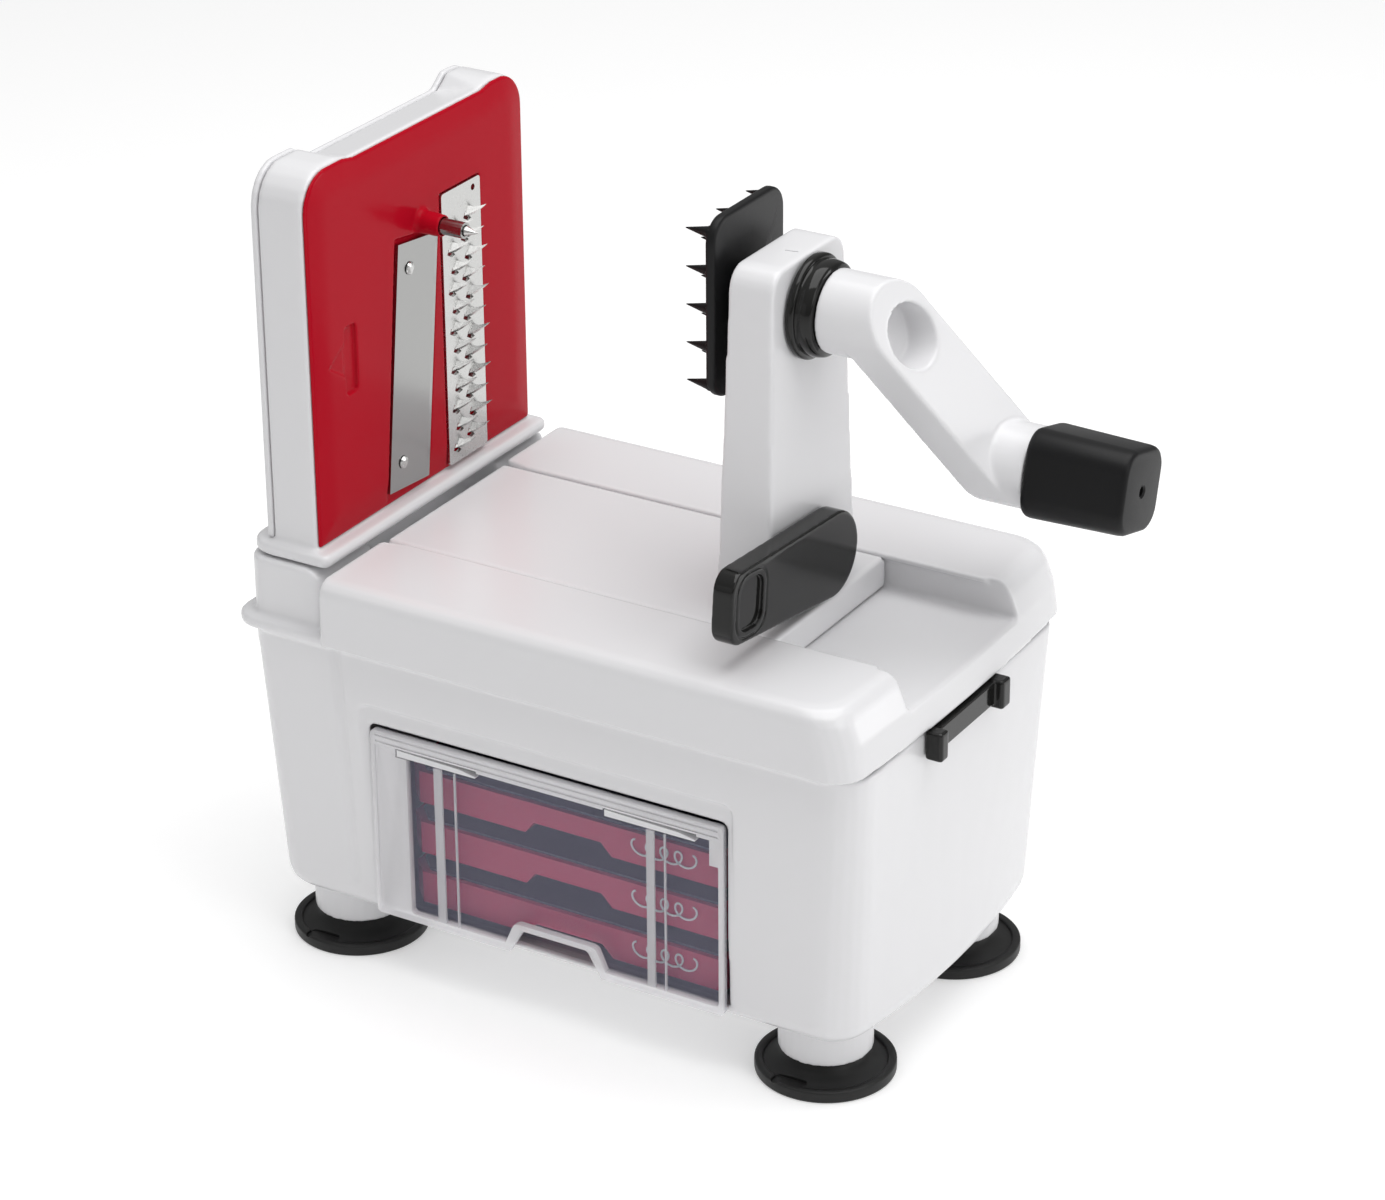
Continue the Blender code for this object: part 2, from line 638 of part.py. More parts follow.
def blade_cassette():
    plate = prism("blade_cassette", panel_outline(DIP_FRONT, 0.4, foot=GAP + 0.4), "X", PANEL_FRONT + GAP,
                  FACE, RED, "cassette")
    soften(plate, 1.1)
    skirt = box("cassette_skirt", (-100.0, -56.0, 151.0), (PANEL_FRONT + 1.0, 56.0, 262.0), RED, "cassette")
    skirt_hollow = box("cassette_hollow", (-101.0, -54.0, 153.0), (PANEL_FRONT + 0.4, 54.0, 260.0), RED,
                       "cassette")
    cut(skirt, skirt_hollow)
    boss = turned("corer_boss", [(PANEL_FRONT + 0.5, 0.0), (PANEL_FRONT + 0.5, 5.4), (FACE + 0.3, 5.4),
                  (FACE + 1.6, 4.2), (FACE + 8.6, 3.8), (FACE + 8.6, 0.0)], "X", (0.0, 0.0, SPINDLE_Z), RED,
                  "cassette", 20)
    join(plate, skirt, boss)
    recess = [(-24.4, 148.2), (-15.2, 236.4), (10.6, 232.6), (8.6, 229.0), (-1.0, 146.6)]
    cut(plate, prism("blade_recess", recess, "X", FACE - 1.1, FACE + 5.0, RED, "cassette"))
    slit = [(-8.0, 152.5), (1.2, 229.0), (8.3, 229.0), (-0.8, 152.5)]
    cut(plate, prism("slice_slit", slit, "X", -95.0, FACE + 5.0, RED, "cassette"))
    comb_window = box("comb_window", (-95.0, 13.0, 152.0), (FACE + 5.0, 31.0, 238.0), RED, "cassette")
    comb_pocket = box("comb_pocket", (FACE - 1.1, 10.4, 147.6), (FACE + 5.0, 33.6, 243.4), RED, "cassette")
    corer_hole = cylinder("corer_hole", "X", (0.0, 0.0, SPINDLE_Z), -95.0, FACE + 12.0,
                          CORER_RADIUS + GAP, RED, "cassette", 20)
    grip = prism("grip_slot", rounded(-44.4, 193.5, -38.2, 216.5, 1.5, 2), "X", FACE - 1.4, FACE + 5.0, RED,
                 "cassette")
    arrow = prism("grip_arrow", [(-53.4, 205.8), (-44.0, 199.6), (-44.0, 212.0)], "X", FACE - 0.5,
                  FACE + 5.0, RED, "cassette")
    return cut(plate, comb_window, comb_pocket, corer_hole, grip, arrow)


def tilted(points, centre, angle):
    c, s = math.cos(angle), math.sin(angle)
    return [(centre[0] + u * c - v * s, centre[1] + u * s + v * c) for u, v in points]


BLADE_TILT = math.radians(-6.8)
BLADE_CENTRE = (-7.4, 191.5)
BLADE_BACK = FACE - 1.1 + GAP
BLADE_FRONT = FACE + 0.4


def straight_blade():
    outline = tilted([(-11.6, -41.8), (11.2, -41.0), (11.2, 41.6), (-11.6, 41.6)], BLADE_CENTRE, BLADE_TILT)
    blade = prism("straight_blade", outline, "X", BLADE_BACK, BLADE_FRONT, STEEL, "cassette")
    for number, (y, z) in enumerate(((-8.3, 224.6), (-15.8, 159.8)), 1):
        turned(f"blade_rivet_{number}", [(BLADE_FRONT + GAP, 0.0), (BLADE_FRONT + GAP, 2.2),
               (BLADE_FRONT + 0.7, 1.9), (BLADE_FRONT + 1.0, 1.0), (BLADE_FRONT + 1.05, 0.0)],
               "X", (0.0, y, z), STEEL, "cassette", 16)
    return blade


COMB_ROWS = 12
COMB_FOOT = 153.0
COMB_PITCH = 6.9


def comb_blade():
    """A punched plate: rows of lifted triangular teeth, alternately on its left and right."""
    blade = prism("comb_blade", rounded(10.8, 148.0, 33.2, 243.0, 1.2, 2), "X", BLADE_BACK, BLADE_FRONT,
                  STEEL, "cassette")
    for row in range(COMB_ROWS):
        z = COMB_FOOT + row * COMB_PITCH
        for column in range(2):
            y = 17.0 + 8.4 * column + (1.6 if row % 2 else 0.0)
            low = z + 3.0 * column
            outline = [(BLADE_FRONT - 0.4, low), (BLADE_FRONT - 0.4, low + 3.4), (BLADE_FRONT + 4.4, low + 2.6)]
            tooth = prism(f"comb_tooth_{row}_{column}", outline, "Y", y - 0.4, y + 0.4, STEEL, "cassette")
            join(blade, tooth)
    return blade


def corer():
    inner = CORER_RADIUS - 0.8
    turned("corer_tube", [(-91.0, inner), (-91.0, CORER_RADIUS), (FACE + 16.6, CORER_RADIUS),
           (FACE + 16.6, inner)], "X", (0.0, 0.0, SPINDLE_Z), STEEL, "cassette", 20)
    spike = inner - GAP
    turned("corer_spike", [(-90.0, 0.0), (-90.0, spike), (FACE + 17.2, spike), (FACE + 22.0, 0.0)], "X",
           (0.0, 0.0, SPINDLE_Z), STEEL, "cassette", 12)


blade_cassette()
straight_blade()
comb_blade()
corer()


# ---------------------------------------------------------------- carriage and tower

def carriage_plate():
    section = [
        (-CARRIAGE_FLANGE, CARRIAGE_BOTTOM), (CARRIAGE_FLANGE, CARRIAGE_BOTTOM),
        (CARRIAGE_FLANGE, CARRIAGE_FLANGE_TOP), (CARRIAGE_HALF_WIDTH, CARRIAGE_FLANGE_TOP),
        (CARRIAGE_HALF_WIDTH, CARRIAGE_TOP), (-CARRIAGE_HALF_WIDTH, CARRIAGE_TOP),
        (-CARRIAGE_HALF_WIDTH, CARRIAGE_FLANGE_TOP), (-CARRIAGE_FLANGE, CARRIAGE_FLANGE_TOP),
    ]
    plate = prism("carriage_plate", section, "X", CARRIAGE_LEFT, CARRIAGE_RIGHT, WHITE, "carriage")
    under = [(-32.0, 120.0), (32.0, 120.0), (32.0, CARRIAGE_TOP - 2.4), (-32.0, CARRIAGE_TOP - 2.4)]
    cut(plate, prism("carriage_hollow", under, "X", CARRIAGE_LEFT + 2.6, CARRIAGE_RIGHT - 2.6, WHITE,
                     "carriage"))
    return plate


def tower_x(z, low, high):
    share = (z - CARRIAGE_TOP) / (TOWER_TOP - CARRIAGE_TOP)
    return low + (high - low) * share


def tower_outline(inset, foot):
    """The tower seen along X: a tapered slab with two round top corners, as (y, z)."""
    half_low = TOWER_HALF_LOW - inset
    half_high = TOWER_HALF_HIGH - inset
    top = TOWER_TOP - inset
    radius = TOWER_ROUND - min(inset, 4.0)
    right = [(half_low, foot)]
    for i in range(6):
        angle = math.radians(90 * i / 5)
        right.append((half_high - radius + radius * math.cos(angle), top - radius + radius * math.sin(angle)))
    return right + [(-y, z) for y, z in reversed(right)]


def tower_body(name, inset, foot, left_low, left_high, right_low, right_high):
    outline = tower_outline(inset, foot)
    left = [(tower_x(z, left_low, left_high), y, z) for y, z in outline]
    right = [(tower_x(z, right_low, right_high), y, z) for y, z in outline]
    return loft(name, [left, right], WHITE, "carriage")


def tower():
    foot = CARRIAGE_TOP + GAP
    shell = tower_body("tower_shell", 0.0, foot, TOWER_LEFT_LOW, TOWER_LEFT_HIGH, TOWER_RIGHT_LOW,
                       TOWER_RIGHT_HIGH)
    hollow = tower_body("tower_hollow", TOWER_WALL, foot + TOWER_WALL, 20.0, 20.0,
                        TOWER_RIGHT_LOW - TOWER_WALL, TOWER_RIGHT_HIGH - TOWER_WALL)
    bore = cylinder("tower_bore", "X", (0.0, 0.0, SPINDLE_Z), 30.0, 80.0, 11.3, WHITE, "carriage", 28)
    cut(shell, hollow, bore)
    plate = tower_body("tower_cover", TOWER_WALL + GAP, foot + TOWER_WALL + GAP, TOWER_LEFT_LOW,
                       TOWER_LEFT_HIGH, TOWER_LEFT_LOW + TOWER_COVER_THICKNESS,
                       TOWER_LEFT_HIGH + TOWER_COVER_THICKNESS)
    cut(plate, cylinder("cover_bore", "X", (0.0, 0.0, SPINDLE_Z), 30.0, 80.0, 8.3, WHITE, "carriage", 28))
    for number, z in enumerate((158.0, 205.0), 1):
        turned(f"tower_screw_{number}", [(tower_x(z, TOWER_LEFT_LOW, TOWER_LEFT_HIGH) - 1.9, 0.0),
               (tower_x(z, TOWER_LEFT_LOW, TOWER_LEFT_HIGH) - 1.9, 2.4),
               (tower_x(z, TOWER_LEFT_LOW, TOWER_LEFT_HIGH) - 0.4, 3.4),
               (tower_x(z, TOWER_LEFT_LOW, TOWER_LEFT_HIGH) - 0.4, 0.0)],
               "X", (0.0, 0.0, z), STEEL, "carriage", 14)


def spindle_bushes():
    run = SPINDLE_RADIUS + 0.3
    face = tower_x(SPINDLE_Z, TOWER_RIGHT_LOW, TOWER_RIGHT_HIGH)
    turned("rear_bush", [(49.0, run), (49.0, 11.0), (face + 0.7, 11.0), (face + 0.7, 16.6),
           (face + 3.4, 16.6), (face + 4.4, 15.4), (HUB_START - 0.4, 14.8), (HUB_START - 0.4, run)],
           "X", (0.0, 0.0, SPINDLE_Z), BLACK_GLOSS, "carriage", 32)
    left = tower_x(SPINDLE_Z, TOWER_LEFT_LOW, TOWER_LEFT_HIGH)
    turned("front_bush", [(left - 1.6, run), (left - 2.0, 10.5), (left - 0.6, 10.5), (left - 0.6, 8.0),
           (48.0, 8.0), (48.0, run)], "X", (0.0, 0.0, SPINDLE_Z), BLACK_GLOSS, "carriage", 24)


carriage_plate()
tower()
spindle_bushes()


# ---------------------------------------------------------------- push lever

def lever_place(points):
    """From along and across the lever to (y, z), with its near end a little higher."""
    c, s = math.cos(LEVER_RISE), math.sin(LEVER_RISE)
    return [(-u * c + v * s, LEVER_Z + u * s + v * c) for u, v in points]


def push_lever():
    """Seen along X: a round end on the pivot and a slightly narrower end towards -Y."""
    big, small = 14.2, 11.9
    outline = []
    for i in range(9):
        angle = math.radians(90 + 180 * i / 8)
        outline.append((big * math.cos(angle), big * math.sin(angle)))
    outline += [(u, v) for u, v in rounded(30.0, -small, LEVER_LENGTH, small, 6.5, 4)
                if u > LEVER_LENGTH / 2 + 6.5]
    lever = prism("push_lever", lever_place(outline), "X", LEVER_LEFT + 0.3, LEVER_RIGHT, BLACK_GLOSS, "lever")
    soften(lever, 1.2)
    dimple_outline = rounded(LEVER_LENGTH - 19.0, -8.6, LEVER_LENGTH - 5.0, 8.6, 6.4, 4)
    dimple = prism("thumb_dimple", lever_place(dimple_outline), "X", LEVER_RIGHT - 1.2, LEVER_RIGHT + 3.0,
                   BLACK_GLOSS, "lever")
    bore = cylinder("lever_bore", "X", (0.0, 0.0, LEVER_Z), LEVER_LEFT - 2.0, LEVER_LEFT + 5.0, 4.4,
                    BLACK_GLOSS, "lever", 20)
    return cut(lever, dimple, bore)


push_lever()
cylinder("lever_pin", "X", (0.0, 0.0, LEVER_Z), TOWER_RIGHT_LOW, LEVER_LEFT + 4.6, 4.0, STEEL, "carriage", 20)


# ---------------------------------------------------------------- crank

def crank_face(y, z, shift=0.0):
    """X of the arm's leaning front face over (y, z), or of a plane parallel to it."""
    out = y * math.sin(CRANK_ANGLE) - (z - SPINDLE_Z) * math.cos(CRANK_ANGLE)
    return ARM_FACE + shift + out * math.tan(CRANK_LEAN)


def arm_outline(hub, tip):
    """Two circles joined by their outer tangents, seen along X."""
    centre = KNOB_CENTRE
    direction = math.atan2(centre.z - SPINDLE_Z, centre.y)
    spread = math.acos((hub - tip) / CRANK_RADIUS)
    points = []
    for i in range(13):
        angle = direction + spread + (2 * math.pi - 2 * spread) * i / 12
        points.append((hub * math.cos(angle), SPINDLE_Z + hub * math.sin(angle)))
    for i in range(13):
        angle = direction - spread + 2 * spread * i / 12
        points.append((centre.y + tip * math.cos(angle), centre.z + tip * math.sin(angle)))
    return points


def circle(y, z, radius, steps=28):
    turns = [2 * math.pi * i / steps for i in range(steps)]
    return [(y + radius * math.cos(t), z + radius * math.sin(t)) for t in turns]


def crank_arm():
    outline = arm_outline(HUB_RADIUS, TIP_RADIUS)
    back = [(crank_face(y, z, -ARM_THICKNESS), y, z) for y, z in outline]
    front = [(crank_face(y, z), y, z) for y, z in outline]
    arm = loft("crank_arm", [back, front], WHITE, "crank")
    soften(arm, 1.6)
    ring = circle(0.0, SPINDLE_Z, HUB_RADIUS - 0.05)
    hub = loft("crank_hub", [[(HUB_START, y, z) for y, z in ring],
               [(crank_face(y, z, -3.0), y, z) for y, z in ring]], WHITE, "crank")
    neck_ring = circle(KNOB_CENTRE.y, KNOB_CENTRE.z, TIP_RADIUS - 0.05)
    neck = loft("crank_neck", [[(crank_face(y, z, -4.0), y, z) for y, z in neck_ring],
                [(NECK_END - 0.4, y, z) for y, z in neck_ring]], WHITE, "crank")
    join(arm, hub, neck)
    out = Vector((0.0, math.sin(CRANK_ANGLE), -math.cos(CRANK_ANGLE))) * 4.6
    recess = cylinder("hub_recess", "X", (0.0, out.y, SPINDLE_Z + out.z), ARM_FACE - 12.0, 120.0, 9.3,
                      WHITE, "crank", 28)
    bore = cylinder("hub_bore", "X", (0.0, 0.0, SPINDLE_Z), 60.0, ARM_FACE - 15.0, SPINDLE_RADIUS + 0.3,
                    WHITE, "crank", 20)
    knob_bore = cylinder("neck_bore", "X", (0.0, KNOB_CENTRE.y, KNOB_CENTRE.z), NECK_END - 14.0,
                         NECK_END + 5.0, 4.3, WHITE, "crank", 20)
    return cut(arm, recess, bore, knob_bore)


def pusher():
    plate = prism("pusher_plate", rounded(-PUSHER_HALF_Y, SPINDLE_Z - PUSHER_HALF_Z, PUSHER_HALF_Y,
                  SPINDLE_Z + PUSHER_HALF_Z, 8.0, 4), "X", PUSHER_LEFT, PUSHER_RIGHT, BLACK_SATIN, "crank")
    soften(plate, 0.8)
    boss = cylinder("pusher_boss", "X", (0.0, 0.0, SPINDLE_Z), PUSHER_RIGHT - 1.0, 39.2, 8.5, BLACK_SATIN,
                    "crank", 20)
    join(plate, boss)
    for column in range(SPIKE_COLUMNS):
        rows = 5 if column % 2 == 0 else 4
        for row in range(rows):
            y = SPIKE_PITCH_Y * (column - (SPIKE_COLUMNS - 1) / 2)
            z = SPINDLE_Z + SPIKE_PITCH_Z * (row - (rows - 1) / 2)
            spike = turned(f"spike_{column}_{row}", [(PUSHER_LEFT + 1.0, 0.0), (PUSHER_LEFT + 1.0, 2.1),
                           (PUSHER_LEFT - SPIKE_LENGTH, 0.0)], "X", (0.0, y, z), BLACK_SATIN, "crank", 8)
            join(plate, spike)
    socket = cylinder("pusher_socket", "X", (0.0, 0.0, SPINDLE_Z), 35.0, 45.0, SPINDLE_RADIUS + 0.3,
                      BLACK_SATIN, "crank", 20)
    return cut(plate, socket)


crank_arm()
pusher()
cylinder("spindle", "X", (0.0, 0.0, SPINDLE_Z), 35.4, ARM_FACE - 15.4, SPINDLE_RADIUS, STEEL, "crank", 24)


# ---------------------------------------------------------------- knob

def knob():
    grip_outline = [
        (KNOB_CENTRE.y + y, KNOB_CENTRE.z + z)
        for y, z in tilted(rounded(-KNOB_HALF, -KNOB_HALF, KNOB_HALF, KNOB_HALF, 7.6, 5), (0.0, 0.0), -0.25)
    ]
    sections = []
    for x, size in ((NECK_END, 0.97), (NECK_END + 1.0, 1.03), (NECK_END + KNOB_LENGTH - 1.0, 0.97),
                    (NECK_END + KNOB_LENGTH, 0.93)):
        sections.append([(x, KNOB_CENTRE.y + (y - KNOB_CENTRE.y) * size,
                          KNOB_CENTRE.z + (z - KNOB_CENTRE.z) * size) for y, z in grip_outline])
    grip = loft("knob_grip", sections, BLACK_SATIN, "knob")
    bore = cylinder("knob_bore", "X", (0.0, KNOB_CENTRE.y, KNOB_CENTRE.z), NECK_END - 3.0,
                    NECK_END + KNOB_LENGTH - 6.0, 4.3, BLACK_SATIN, "knob", 20)
    hole = cylinder("knob_end_hole", "X", (0.0, KNOB_CENTRE.y, KNOB_CENTRE.z), NECK_END + KNOB_LENGTH - 4.0,
                    NECK_END + KNOB_LENGTH + 3.0, 1.6, BLACK_SATIN, "knob", 16)
    return cut(grip, bore, hole)


knob()
cylinder("knob_axle", "X", (0.0, KNOB_CENTRE.y, KNOB_CENTRE.z), NECK_END - 13.6,
         NECK_END + KNOB_LENGTH - 6.6, 4.0, STEEL, "crank", 20)
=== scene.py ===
import json
import math

import bmesh
import bpy
from mathutils import Matrix, Vector


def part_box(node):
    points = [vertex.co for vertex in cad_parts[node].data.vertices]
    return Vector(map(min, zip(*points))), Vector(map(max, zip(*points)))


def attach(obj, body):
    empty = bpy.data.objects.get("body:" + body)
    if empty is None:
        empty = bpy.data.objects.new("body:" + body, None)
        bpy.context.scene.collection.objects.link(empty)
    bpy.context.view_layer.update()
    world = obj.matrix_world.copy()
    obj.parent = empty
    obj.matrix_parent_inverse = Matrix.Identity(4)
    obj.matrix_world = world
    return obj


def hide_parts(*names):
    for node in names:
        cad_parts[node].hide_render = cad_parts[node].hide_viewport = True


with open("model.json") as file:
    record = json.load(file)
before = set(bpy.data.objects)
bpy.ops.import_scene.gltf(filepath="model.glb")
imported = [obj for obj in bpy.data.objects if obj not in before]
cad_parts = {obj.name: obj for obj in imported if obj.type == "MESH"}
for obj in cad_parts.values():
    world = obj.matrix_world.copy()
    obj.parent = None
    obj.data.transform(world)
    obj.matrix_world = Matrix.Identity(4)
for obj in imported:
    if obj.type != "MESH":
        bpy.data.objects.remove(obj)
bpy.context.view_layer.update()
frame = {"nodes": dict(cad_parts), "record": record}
NODES = frame["nodes"]

# Lengths below are in millimetres from the middle between the four feet, as in the CAD model.
# TO_ROW takes them to metres in the row frame, whose origin is under the middle of the object.
MM = 0.001
GAP = 0.3                   # clearance between neighbouring pieces
CUP_RADIUS = 22.6
FOOT_X = 89.0
MIDDLE_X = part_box("suction_cup_2")[1].x / MM - CUP_RADIUS - FOOT_X
TO_ROW = Matrix.Scale(MM, 4) @ Matrix.Translation((MIDDLE_X, 0.0, 0.0))


def cad_box(node):
    """A CAD node's lowest and highest corner, in this script's millimetres."""
    low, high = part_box(node)
    back = TO_ROW.inverted()
    return back @ low, back @ high


# ---------------------------------------------------------------- camera, light and floor

CAMERA_AZIMUTH = math.radians(31.19)
CAMERA_ELEVATION = math.radians(25.81)
CAMERA_ROLL = math.radians(-0.5)
CAMERA_DISTANCE = 1364.63
CAMERA_TARGET = Vector((10.21, 0.0, 130.96))
CAMERA_LENS = 111.07
CAMERA_SHIFT = (0.00995, -0.00926)
LIGHT_AIM_HEIGHT = 0.13


def add_camera():
    level = math.cos(CAMERA_ELEVATION)
    back = Vector((math.sin(CAMERA_AZIMUTH) * level, -math.cos(CAMERA_AZIMUTH) * level,
                   math.sin(CAMERA_ELEVATION)))
    side = Vector((math.cos(CAMERA_AZIMUTH), math.sin(CAMERA_AZIMUTH), 0.0))
    up = back.cross(side)
    right = side * math.cos(CAMERA_ROLL) + up * math.sin(CAMERA_ROLL)
    top = up * math.cos(CAMERA_ROLL) - side * math.sin(CAMERA_ROLL)
    turn = Matrix((right, top, back)).transposed().to_4x4()
    data = bpy.data.cameras.new("camera")
    data.sensor_width = 36.0
    data.lens = CAMERA_LENS
    data.shift_x, data.shift_y = CAMERA_SHIFT
    data.clip_start = 0.05
    camera = bpy.data.objects.new("camera", data)
    camera.matrix_world = Matrix.Translation(TO_ROW @ (CAMERA_TARGET + back * CAMERA_DISTANCE)) @ turn
    bpy.context.scene.collection.objects.link(camera)
    bpy.context.scene.camera = camera


def add_softbox(name, place, size, power):
    """A soft white light aimed at the middle of the object, with place and size in metres."""
    data = bpy.data.lights.new(name, "AREA")
    data.shape = "RECTANGLE"
    data.size, data.size_y = size
    data.energy = power
    light = bpy.data.objects.new(name, data)
    light.location = place
    aim = Vector((0.0, 0.0, LIGHT_AIM_HEIGHT)) - Vector(place)
    light.rotation_euler = aim.to_track_quat("-Z", "Y").to_euler()
    bpy.context.scene.collection.objects.link(light)


def add_world(low, high):
    """A plain grey-white surround, a little brighter overhead."""
    world = bpy.data.worlds.new("studio")
    bpy.context.scene.world = world
    world.use_nodes = True
    nodes, links = world.node_tree.nodes, world.node_tree.links
    place = nodes.new("ShaderNodeTexCoord")
    split = nodes.new("ShaderNodeSeparateXYZ")
    ramp = nodes.new("ShaderNodeValToRGB")
    ramp.color_ramp.elements[0].position = 0.0
    ramp.color_ramp.elements[0].color = (low, low, low, 1.0)
    ramp.color_ramp.elements[1].position = 0.9
    ramp.color_ramp.elements[1].color = (high, high, high, 1.0)
    links.new(place.outputs["Generated"], split.inputs[0])
    links.new(split.outputs["Z"], ramp.inputs[0])
    links.new(ramp.outputs[0], nodes["Background"].inputs["Color"])


add_camera()
add_world(0.20, 0.60)
add_softbox("overhead_light", (0.15, 0.05, 1.3), (1.2, 1.2), 12.0)
add_softbox("right_light", (1.25, -0.25, 0.75), (0.75, 0.75), 2.8)
add_softbox("front_light", (-0.35, -1.4, 0.5), (1.0, 0.7), 0.6)
add_softbox("back_right_light", (1.25, 0.95, 0.22), (0.5, 0.4), 2.4)
bpy.context.scene.view_settings.view_transform = "Standard"


# ---------------------------------------------------------------- materials

def shader_material(name, colour, roughness, metallic=0.0):
    made = bpy.data.materials.new(name)
    made.use_nodes = True
    shader = made.node_tree.nodes["Principled BSDF"]
    shader.inputs["Base Color"].default_value = (*colour, 1.0)
    shader.inputs["Roughness"].default_value = roughness
    shader.inputs["Metallic"].default_value = metallic
    return made, shader


def object_noise(made, scale, detail=3.0, stretch=(1.0, 1.0, 1.0)):
    """Noise fixed to the piece, with scale in cells per metre."""
    nodes, links = made.node_tree.nodes, made.node_tree.links
    place = nodes.new("ShaderNodeTexCoord")
    spread = nodes.new("ShaderNodeMapping")
    spread.inputs["Scale"].default_value = stretch
    noise = nodes.new("ShaderNodeTexNoise")
    noise.inputs["Scale"].default_value = scale
    noise.inputs["Detail"].default_value = detail
    links.new(place.outputs["Object"], spread.inputs["Vector"])
    links.new(spread.outputs["Vector"], noise.inputs["Vector"])
    return noise.outputs["Fac"]


def vary(made, factor, socket, low, high):
    """Drives a shader socket by noise, between two values or two colours."""
    nodes, links = made.node_tree.nodes, made.node_tree.links
    ramp = nodes.new("ShaderNodeValToRGB")
    ramp.color_ramp.elements[0].position = 0.15
    ramp.color_ramp.elements[1].position = 0.85
    for element, value in zip(ramp.color_ramp.elements, (low, high)):
        colour = value if isinstance(value, tuple) else (value, value, value)
        element.color = (*colour, 1.0)
    links.new(factor, ramp.inputs[0])
    links.new(ramp.outputs[0], socket)


def add_bump(made, shader, factor, depth, strength=1.0):
    nodes, links = made.node_tree.nodes, made.node_tree.links
    bump = nodes.new("ShaderNodeBump")
    bump.inputs["Strength"].default_value = strength
    bump.inputs["Distance"].default_value = depth * MM
    links.new(factor, bump.inputs["Height"])
    links.new(bump.outputs["Normal"], shader.inputs["Normal"])


def moulded_plastic(name, colour, roughness, grain, depth, coat=0.0, gloss=0.5):
    """Plastic with the faint grain of a moulding."""
    made, shader = shader_material(name, colour, roughness)
    add_bump(made, shader, object_noise(made, grain, 1.0), depth)
    shader.inputs["Specular IOR Level"].default_value = gloss
    shader.inputs["Coat Weight"].default_value = coat
    shader.inputs["Coat Roughness"].default_value = 0.06
    return made


def brushed_steel(name, colour, stretch, roughness):
    made, shader = shader_material(name, colour, roughness, 1.0)
    lines = object_noise(made, 900.0, 4.0, stretch)
    vary(made, lines, shader.inputs["Roughness"], roughness * 0.75, roughness * 1.35)
    add_bump(made, shader, lines, 0.01, 0.5)
    return made


def clear_plastic(name, colour, alpha, roughness):
    made, shader = shader_material(name, colour, roughness)
    shader.inputs["Alpha"].default_value = alpha
    vary(made, object_noise(made, 60.0, 3.0), shader.inputs["Roughness"], roughness * 0.8, roughness * 1.3)
    add_bump(made, shader, object_noise(made, 40.0, 2.0), 0.15)
    return made


WHITE = moulded_plastic("white_plastic", (0.725, 0.722, 0.735), 0.27, 260.0, 0.003, 0.08)
RED = moulded_plastic("red_plastic", (0.42, 0.004, 0.015), 0.16, 240.0, 0.003, 0.0, 0.06)
SPARE_RED = moulded_plastic("spare_red_plastic", (0.50, 0.010, 0.070), 0.35, 300.0, 0.004, 0.0)
BLACK_GLOSS = moulded_plastic("gloss_black_plastic", (0.008, 0.008, 0.0075), 0.10, 240.0, 0.002, 0.0, 0.32)
BLACK_SATIN = moulded_plastic("satin_black_plastic", (0.007, 0.007, 0.0075), 0.40, 700.0, 0.010, 0.0, 0.2)
RUBBER = moulded_plastic("black_rubber", (0.014, 0.014, 0.014), 0.45, 500.0, 0.012, 0.0, 0.3)
STEEL = brushed_steel("stainless_steel", (0.56, 0.56, 0.55), (1.0, 1.0, 1.0), 0.24)
BLADE_STEEL = brushed_steel("blade_steel", (0.36, 0.36, 0.355), (0.2, 0.2, 3.0), 0.20)
# Steel of the stored blade plates: real steel, darkened to blue-grey as painted shade of the closed drawer's
# inside.
SHADED_STORED_STEEL = brushed_steel("shaded_stored_steel", (0.13, 0.13, 0.17), (1.0, 1.0, 1.0), 0.35)
CLEAR = clear_plastic("clear_plastic", (0.40, 0.40, 0.54), 0.10, 0.10)
TRAY_CLEAR = clear_plastic("tray_plastic", (0.40, 0.40, 0.54), 0.05, 0.12)
FROSTED = clear_plastic("frosted_plastic", (0.98, 0.97, 0.99), 0.56, 0.22)
RIB_CLEAR = clear_plastic("rib_plastic", (0.95, 0.93, 0.96), 0.32, 0.15)
MARK = moulded_plastic("printed_mark", (0.80, 0.80, 0.82), 0.5, 900.0, 0.002, 0.0)


def add_floor():
    made, shader = shader_material("floor", (0.78, 0.78, 0.78), 0.9)
    shader.inputs["Specular IOR Level"].default_value = 0.0
    shader.inputs["Emission Color"].default_value = (1.0, 1.0, 1.0, 1.0)
    shader.inputs["Emission Strength"].default_value = 0.34
    vary(made, object_noise(made, 3.0, 2.0), shader.inputs["Base Color"], (0.775, 0.775, 0.775),
         (0.785, 0.785, 0.785))
    bm = bmesh.new()
    bmesh.ops.create_grid(bm, x_segments=1, y_segments=1, size=6.0)
    mesh = bpy.data.meshes.new("floor")
    bm.to_mesh(mesh)
    bm.free()
    floor = bpy.data.objects.new("floor", mesh)
    mesh.materials.append(made)
    bpy.context.scene.collection.objects.link(floor)


add_floor()


# ---------------------------------------------------------------- making meshes

def new_piece(name, bm):
    """Turns a bmesh in this script's millimetres into an object in the row frame."""
    bmesh.ops.recalc_face_normals(bm, faces=bm.faces)
    bmesh.ops.transform(bm, matrix=TO_ROW, verts=bm.verts)
    mesh = bpy.data.meshes.new(name)
    bm.to_mesh(mesh)
    bm.free()
    made = bpy.data.objects.new(name, mesh)
    bpy.context.scene.collection.objects.link(made)
    return made


def copy_of(node, name):
    """A new piece that starts from a CAD node's surface."""
    made = bpy.data.objects.new(name, NODES[node].data.copy())
    made.data.materials.clear()
    bpy.context.scene.collection.objects.link(made)
    return made


